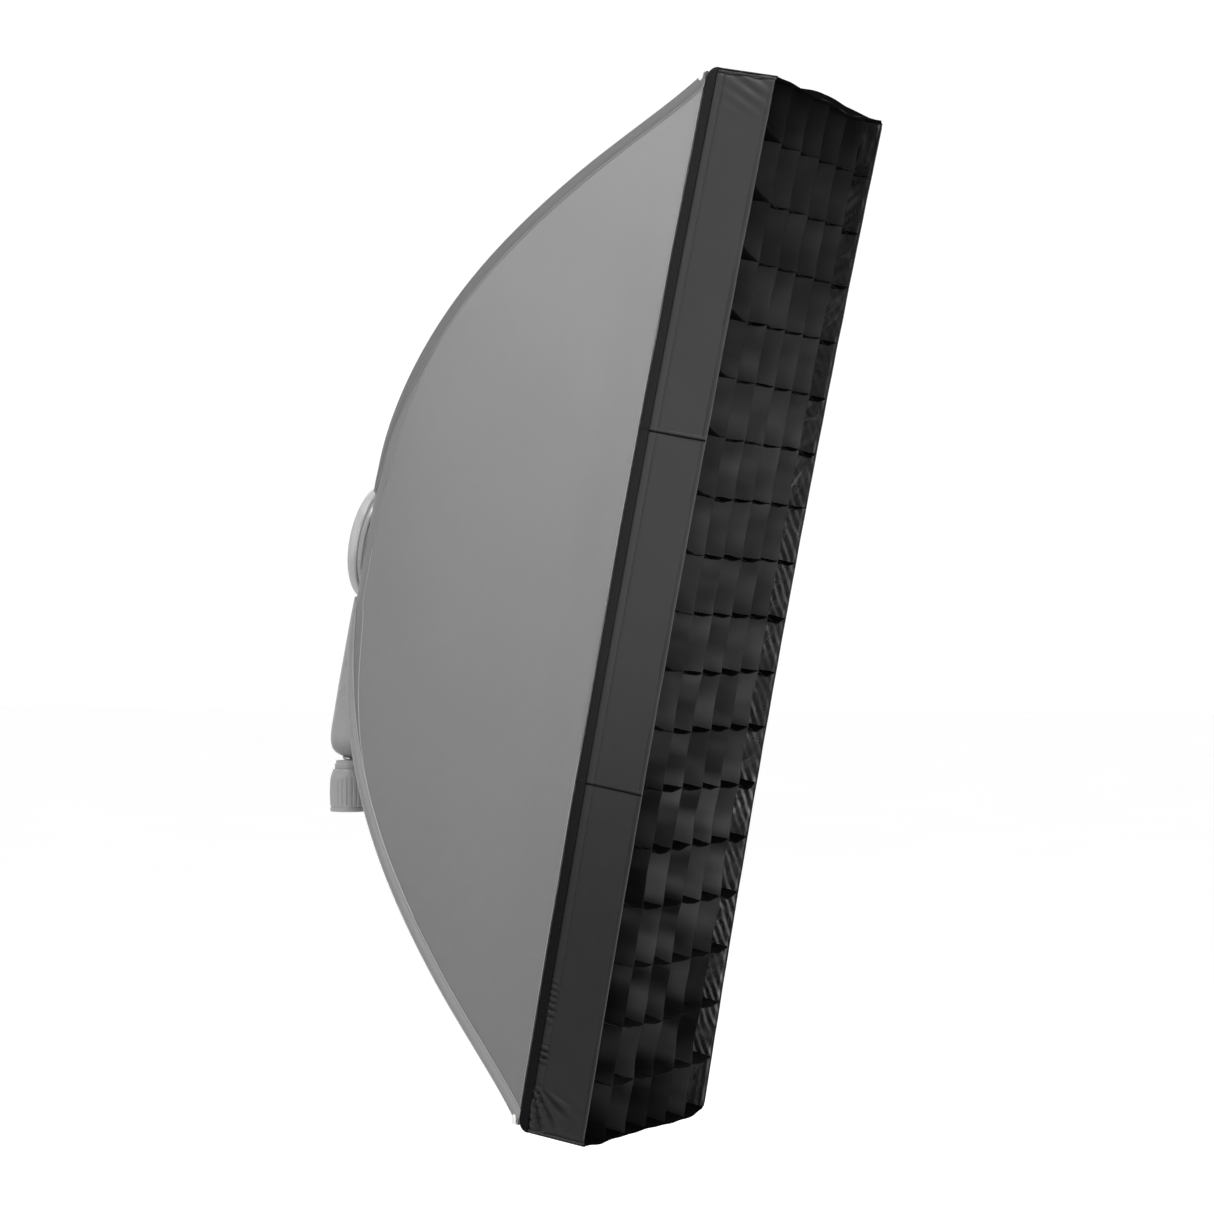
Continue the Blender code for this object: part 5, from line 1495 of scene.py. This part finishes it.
# ------------------------------------------------------------------ ball head
stem = [(0.0, 0.0250), (0.0026, 0.0250), (0.0030, 0.0246), (0.0030, 0.0096), (0.0058, 0.0096), (0.0063, 0.0091), (0.0063, 0.0082), (0.0056, 0.0077),
        (0.0050, 0.0072), (0.0049, 0.00570)]
for k in range(1, 25):
    g = math.radians(49 - (49 + 90) * k / 24)
    stem.append((max(0.0075 * math.cos(g), 0.0), 0.0075 * math.sin(g)))
stem[0], stem[-1] = (1e-5, 0.0250), (1e-5, -0.0075)
ob = make("ball_and_stem", [lathe(dense(stem, 0.001, False), 96, axis="w", centre=(0, BALL_V, BALL_WW), closed=False)], [M_STEEL], "head",
          sharp=40)
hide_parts("ball_stem")

body = [(0.00001, 0.0021), (0.0099, 0.0021), (0.0099, 0.0152), (0.0092, 0.0152), (0.0092, 0.0165), (0.0096, 0.0170),
        (0.0103, 0.0168), (0.0105, 0.0142), (0.0114, 0.0136), (0.0114, -0.0290), (0.0081, -0.0290), (0.0081, 0.0), (0.00001, 0.0)]
pr = dense(fillet(body, [0, 0, 0.0002, 0.0002, 0.0002, 0.0003, 0.0003, 0.0003, 0.0004, 0.0005, 0.0004, 0.0002, 0]), 0.0015)
ob = make("socket_cup", [lathe(pr, 96, axis="z")], [M_COLLAR], "stand_base", sharp=35)
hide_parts("socket_body")

# lock collar: barrel with flutes between two plain rims
LV = [(-0.0290, 0.0124, 0), (-0.0290, 0.0143, 0), (-0.0288, 0.0149, 0), (-0.0280, 0.01515, 0), (-0.0266, 0.01525, 0), (-0.0256, 0.0151, 0),
      (-0.0249, 0.0146, 0), (-0.0243, 0.0146, 0), (-0.0237, 0.01495, 0.0), (-0.0228, 0.0152, 0.5), (-0.0214, 0.0153, 1)]
LV += [(z, 0.0153 + 0.0004 * math.sin(math.pi * (z + 0.0214) / 0.0214), 1) for z in np.linspace(-0.0200, -0.0010, 14)]
LV += [(0.0004, 0.0152, 0.9), (0.0016, 0.01505, 0.4), (0.0026, 0.0148, 0), (0.0040, 0.0146, 0), (0.0046, 0.0141, 0), (0.0052, 0.0140, 0), (0.0060, 0.0139, 0),
       (0.0066, 0.0134, 0), (0.0080, 0.0132, 0), (0.0087, 0.0129, 0), (0.0090, 0.0124, 0), (0.0090, 0.0119, 0), (0.0060, 0.0118, 0), (-0.0270, 0.0118, 0),
       (-0.0286, 0.0120, 0)]
n = 21 * 16
aa = np.linspace(0, 2 * math.pi, n, endpoint=False)
phase = (aa * 21 / (2 * math.pi)) % 1.0
flute = 0.00085 * np.exp(-((phase - 0.5) / 0.17) ** 4)
rings = np.stack([np.stack([(r - rib * flute) * np.cos(aa), (r - rib * flute) * np.sin(aa), np.full(n, z)], -1) for z, r, rib in LV])
ob = make("lock_collar_fluted", [solid(rings, closed=True)], [M_COLLAR], "collar", sharp=50)
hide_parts("lock_collar")

# ------------------------------------------------------------------ CAD nodes that stay: better materials and broken edges
for name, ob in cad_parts.items():
    if ob.hide_render or ob.type != "MESH":
        continue
    if name.startswith("rod_socket"):
        mat, bev = M_BLACK, 0.0003
    elif name.startswith("rod_tip"):
        mat, bev = M_NYLON, 0.0002
    elif name.startswith("rod_"):
        mat, bev = M_ROD, 0
    elif name.startswith("hinge_pin"):
        mat, bev = M_STEEL, 0.0002
    elif name == "retainer_ring":
        mat, bev = M_BLACK, 0.0003
    elif name == "arm_screw":
        mat, bev = M_STEEL, 0.0003
    elif name == "ball_seat":
        mat, bev = M_NYLON, 0.0002
    else:
        print("CAD node left plain:", name)
        continue
    if not ob.data.materials:
        ob.data.materials.append(mat)
    for s in ob.material_slots:
        s.material = mat
    if bev:
        m = ob.modifiers.new("edges", "BEVEL")
        m.width, m.segments, m.limit_method, m.angle_limit = bev, 2, "ANGLE", math.radians(40)

# ------------------------------------------------------------------ camera
AZ, EL, ROLL, DIST, FPX = math.radians(20.8), math.radians(3.25), math.radians(10.16), 3.417, 3918.0
d = np.array([math.cos(EL) * math.cos(AZ), math.cos(EL) * math.sin(AZ), math.sin(EL)])
fwd = -d
right = unit(np.cross(fwd, [0, 0, 1.0]))
up = np.cross(right, fwd)
c, s = math.cos(ROLL), math.sin(ROLL)
right, up = c * right + s * up, -s * right + c * up
eye = W(d * DIST + np.array([0, DEPTH - 0.0607, -0.0137]))
right, up, back = WN(right), WN(up), WN(d)
cam = bpy.data.cameras.new("camera")
cam.sensor_width = 36.0
cam.lens = FPX / 1214.0 * 36.0
cam.clip_start, cam.clip_end = 0.05, 200.0
camera = bpy.data.objects.new("camera", cam)
camera.matrix_world = Matrix(((right[0], up[0], back[0], eye[0]), (right[1], up[1], back[1], eye[1]), (right[2], up[2], back[2], eye[2]), (0, 0, 0, 1)))
bpy.context.scene.collection.objects.link(camera)
bpy.context.scene.camera = camera

# ------------------------------------------------------------------ studio
FLOOR_Z = -0.62
bm = bmesh.new()
bmesh.ops.create_circle(bm, cap_ends=True, radius=40.0, segments=96)
for vtx in bm.verts:
    vtx.co.z = FLOOR_Z
me = bpy.data.meshes.new("floor")
bm.to_mesh(me)
bm.free()
floor = bpy.data.objects.new("floor", me)
bpy.context.scene.collection.objects.link(floor)
fm = Mat("floor_paint")
fc = fm.coords("object")
fm.link(fm.mix(fm.remap(fm.noise(fc, 1.5, 2.0), 0.3, 0.7, 0.0, 1.0), (0.93, 0.93, 0.93, 1), (0.96, 0.96, 0.96, 1)), fm.b.inputs["Base Color"])
fm.b.inputs["Emission Color"].default_value = (1, 1, 1, 1)
fm.b.inputs["Emission Strength"].default_value = 0.34
fm.set(rough=0.9, spec=0.1)
me.materials.append(fm.m)

world = bpy.data.worlds.new("studio")
bpy.context.scene.world = world
world.use_nodes = True
bg = world.node_tree.nodes["Background"]
bg.inputs["Color"].default_value = (1, 1, 1, 1)
wt = world.node_tree
sky = wt.nodes.new("ShaderNodeTexCoord")
split = wt.nodes.new("ShaderNodeSeparateXYZ")
wt.links.new(sky.outputs["Generated"], split.inputs[0])
grade = wt.nodes.new("ShaderNodeMapRange")
grade.interpolation_type = "SMOOTHSTEP"
for key, x in (("From Min", -0.45), ("From Max", 0.35), ("To Min", 1.03), ("To Max", 0.36)):
    grade.inputs[key].default_value = x
wt.links.new(split.outputs[0], grade.inputs["Value"])
wt.links.new(grade.outputs["Result"], bg.inputs["Strength"])


def area(name, loc, target, size, power):
    L_ = bpy.data.lights.new(name, "AREA")
    L_.shape, L_.size, L_.size_y, L_.energy = "RECTANGLE", size[0], size[1], power
    ob = bpy.data.objects.new(name, L_)
    ob.location = loc
    ob.rotation_mode = "QUATERNION"
    ob.rotation_quaternion = (Vector(target) - Vector(loc)).to_track_quat("-Z", "Y")
    bpy.context.scene.collection.objects.link(ob)
    return ob


area("key", (1.15, 0.35, 2.6), (0, 0.15, 0.25), (0.55, 0.55), 78)
area("rim", (-1.8, -1.4, 1.6), (0, 0.1, 0.2), (1.2, 1.2), 10)
front = area("front", tuple(W((1.25, 2.15, 0.14))), tuple(W((0, DEPTH, 0.06))), (0.5, 0.5), 2.2)
front.data.spread = math.radians(42)
scene = bpy.context.scene
scene.view_settings.view_transform = "Standard"
scene.view_settings.look = "None"
scene.view_settings.exposure = 0.0
scene.view_settings.gamma = 1.0
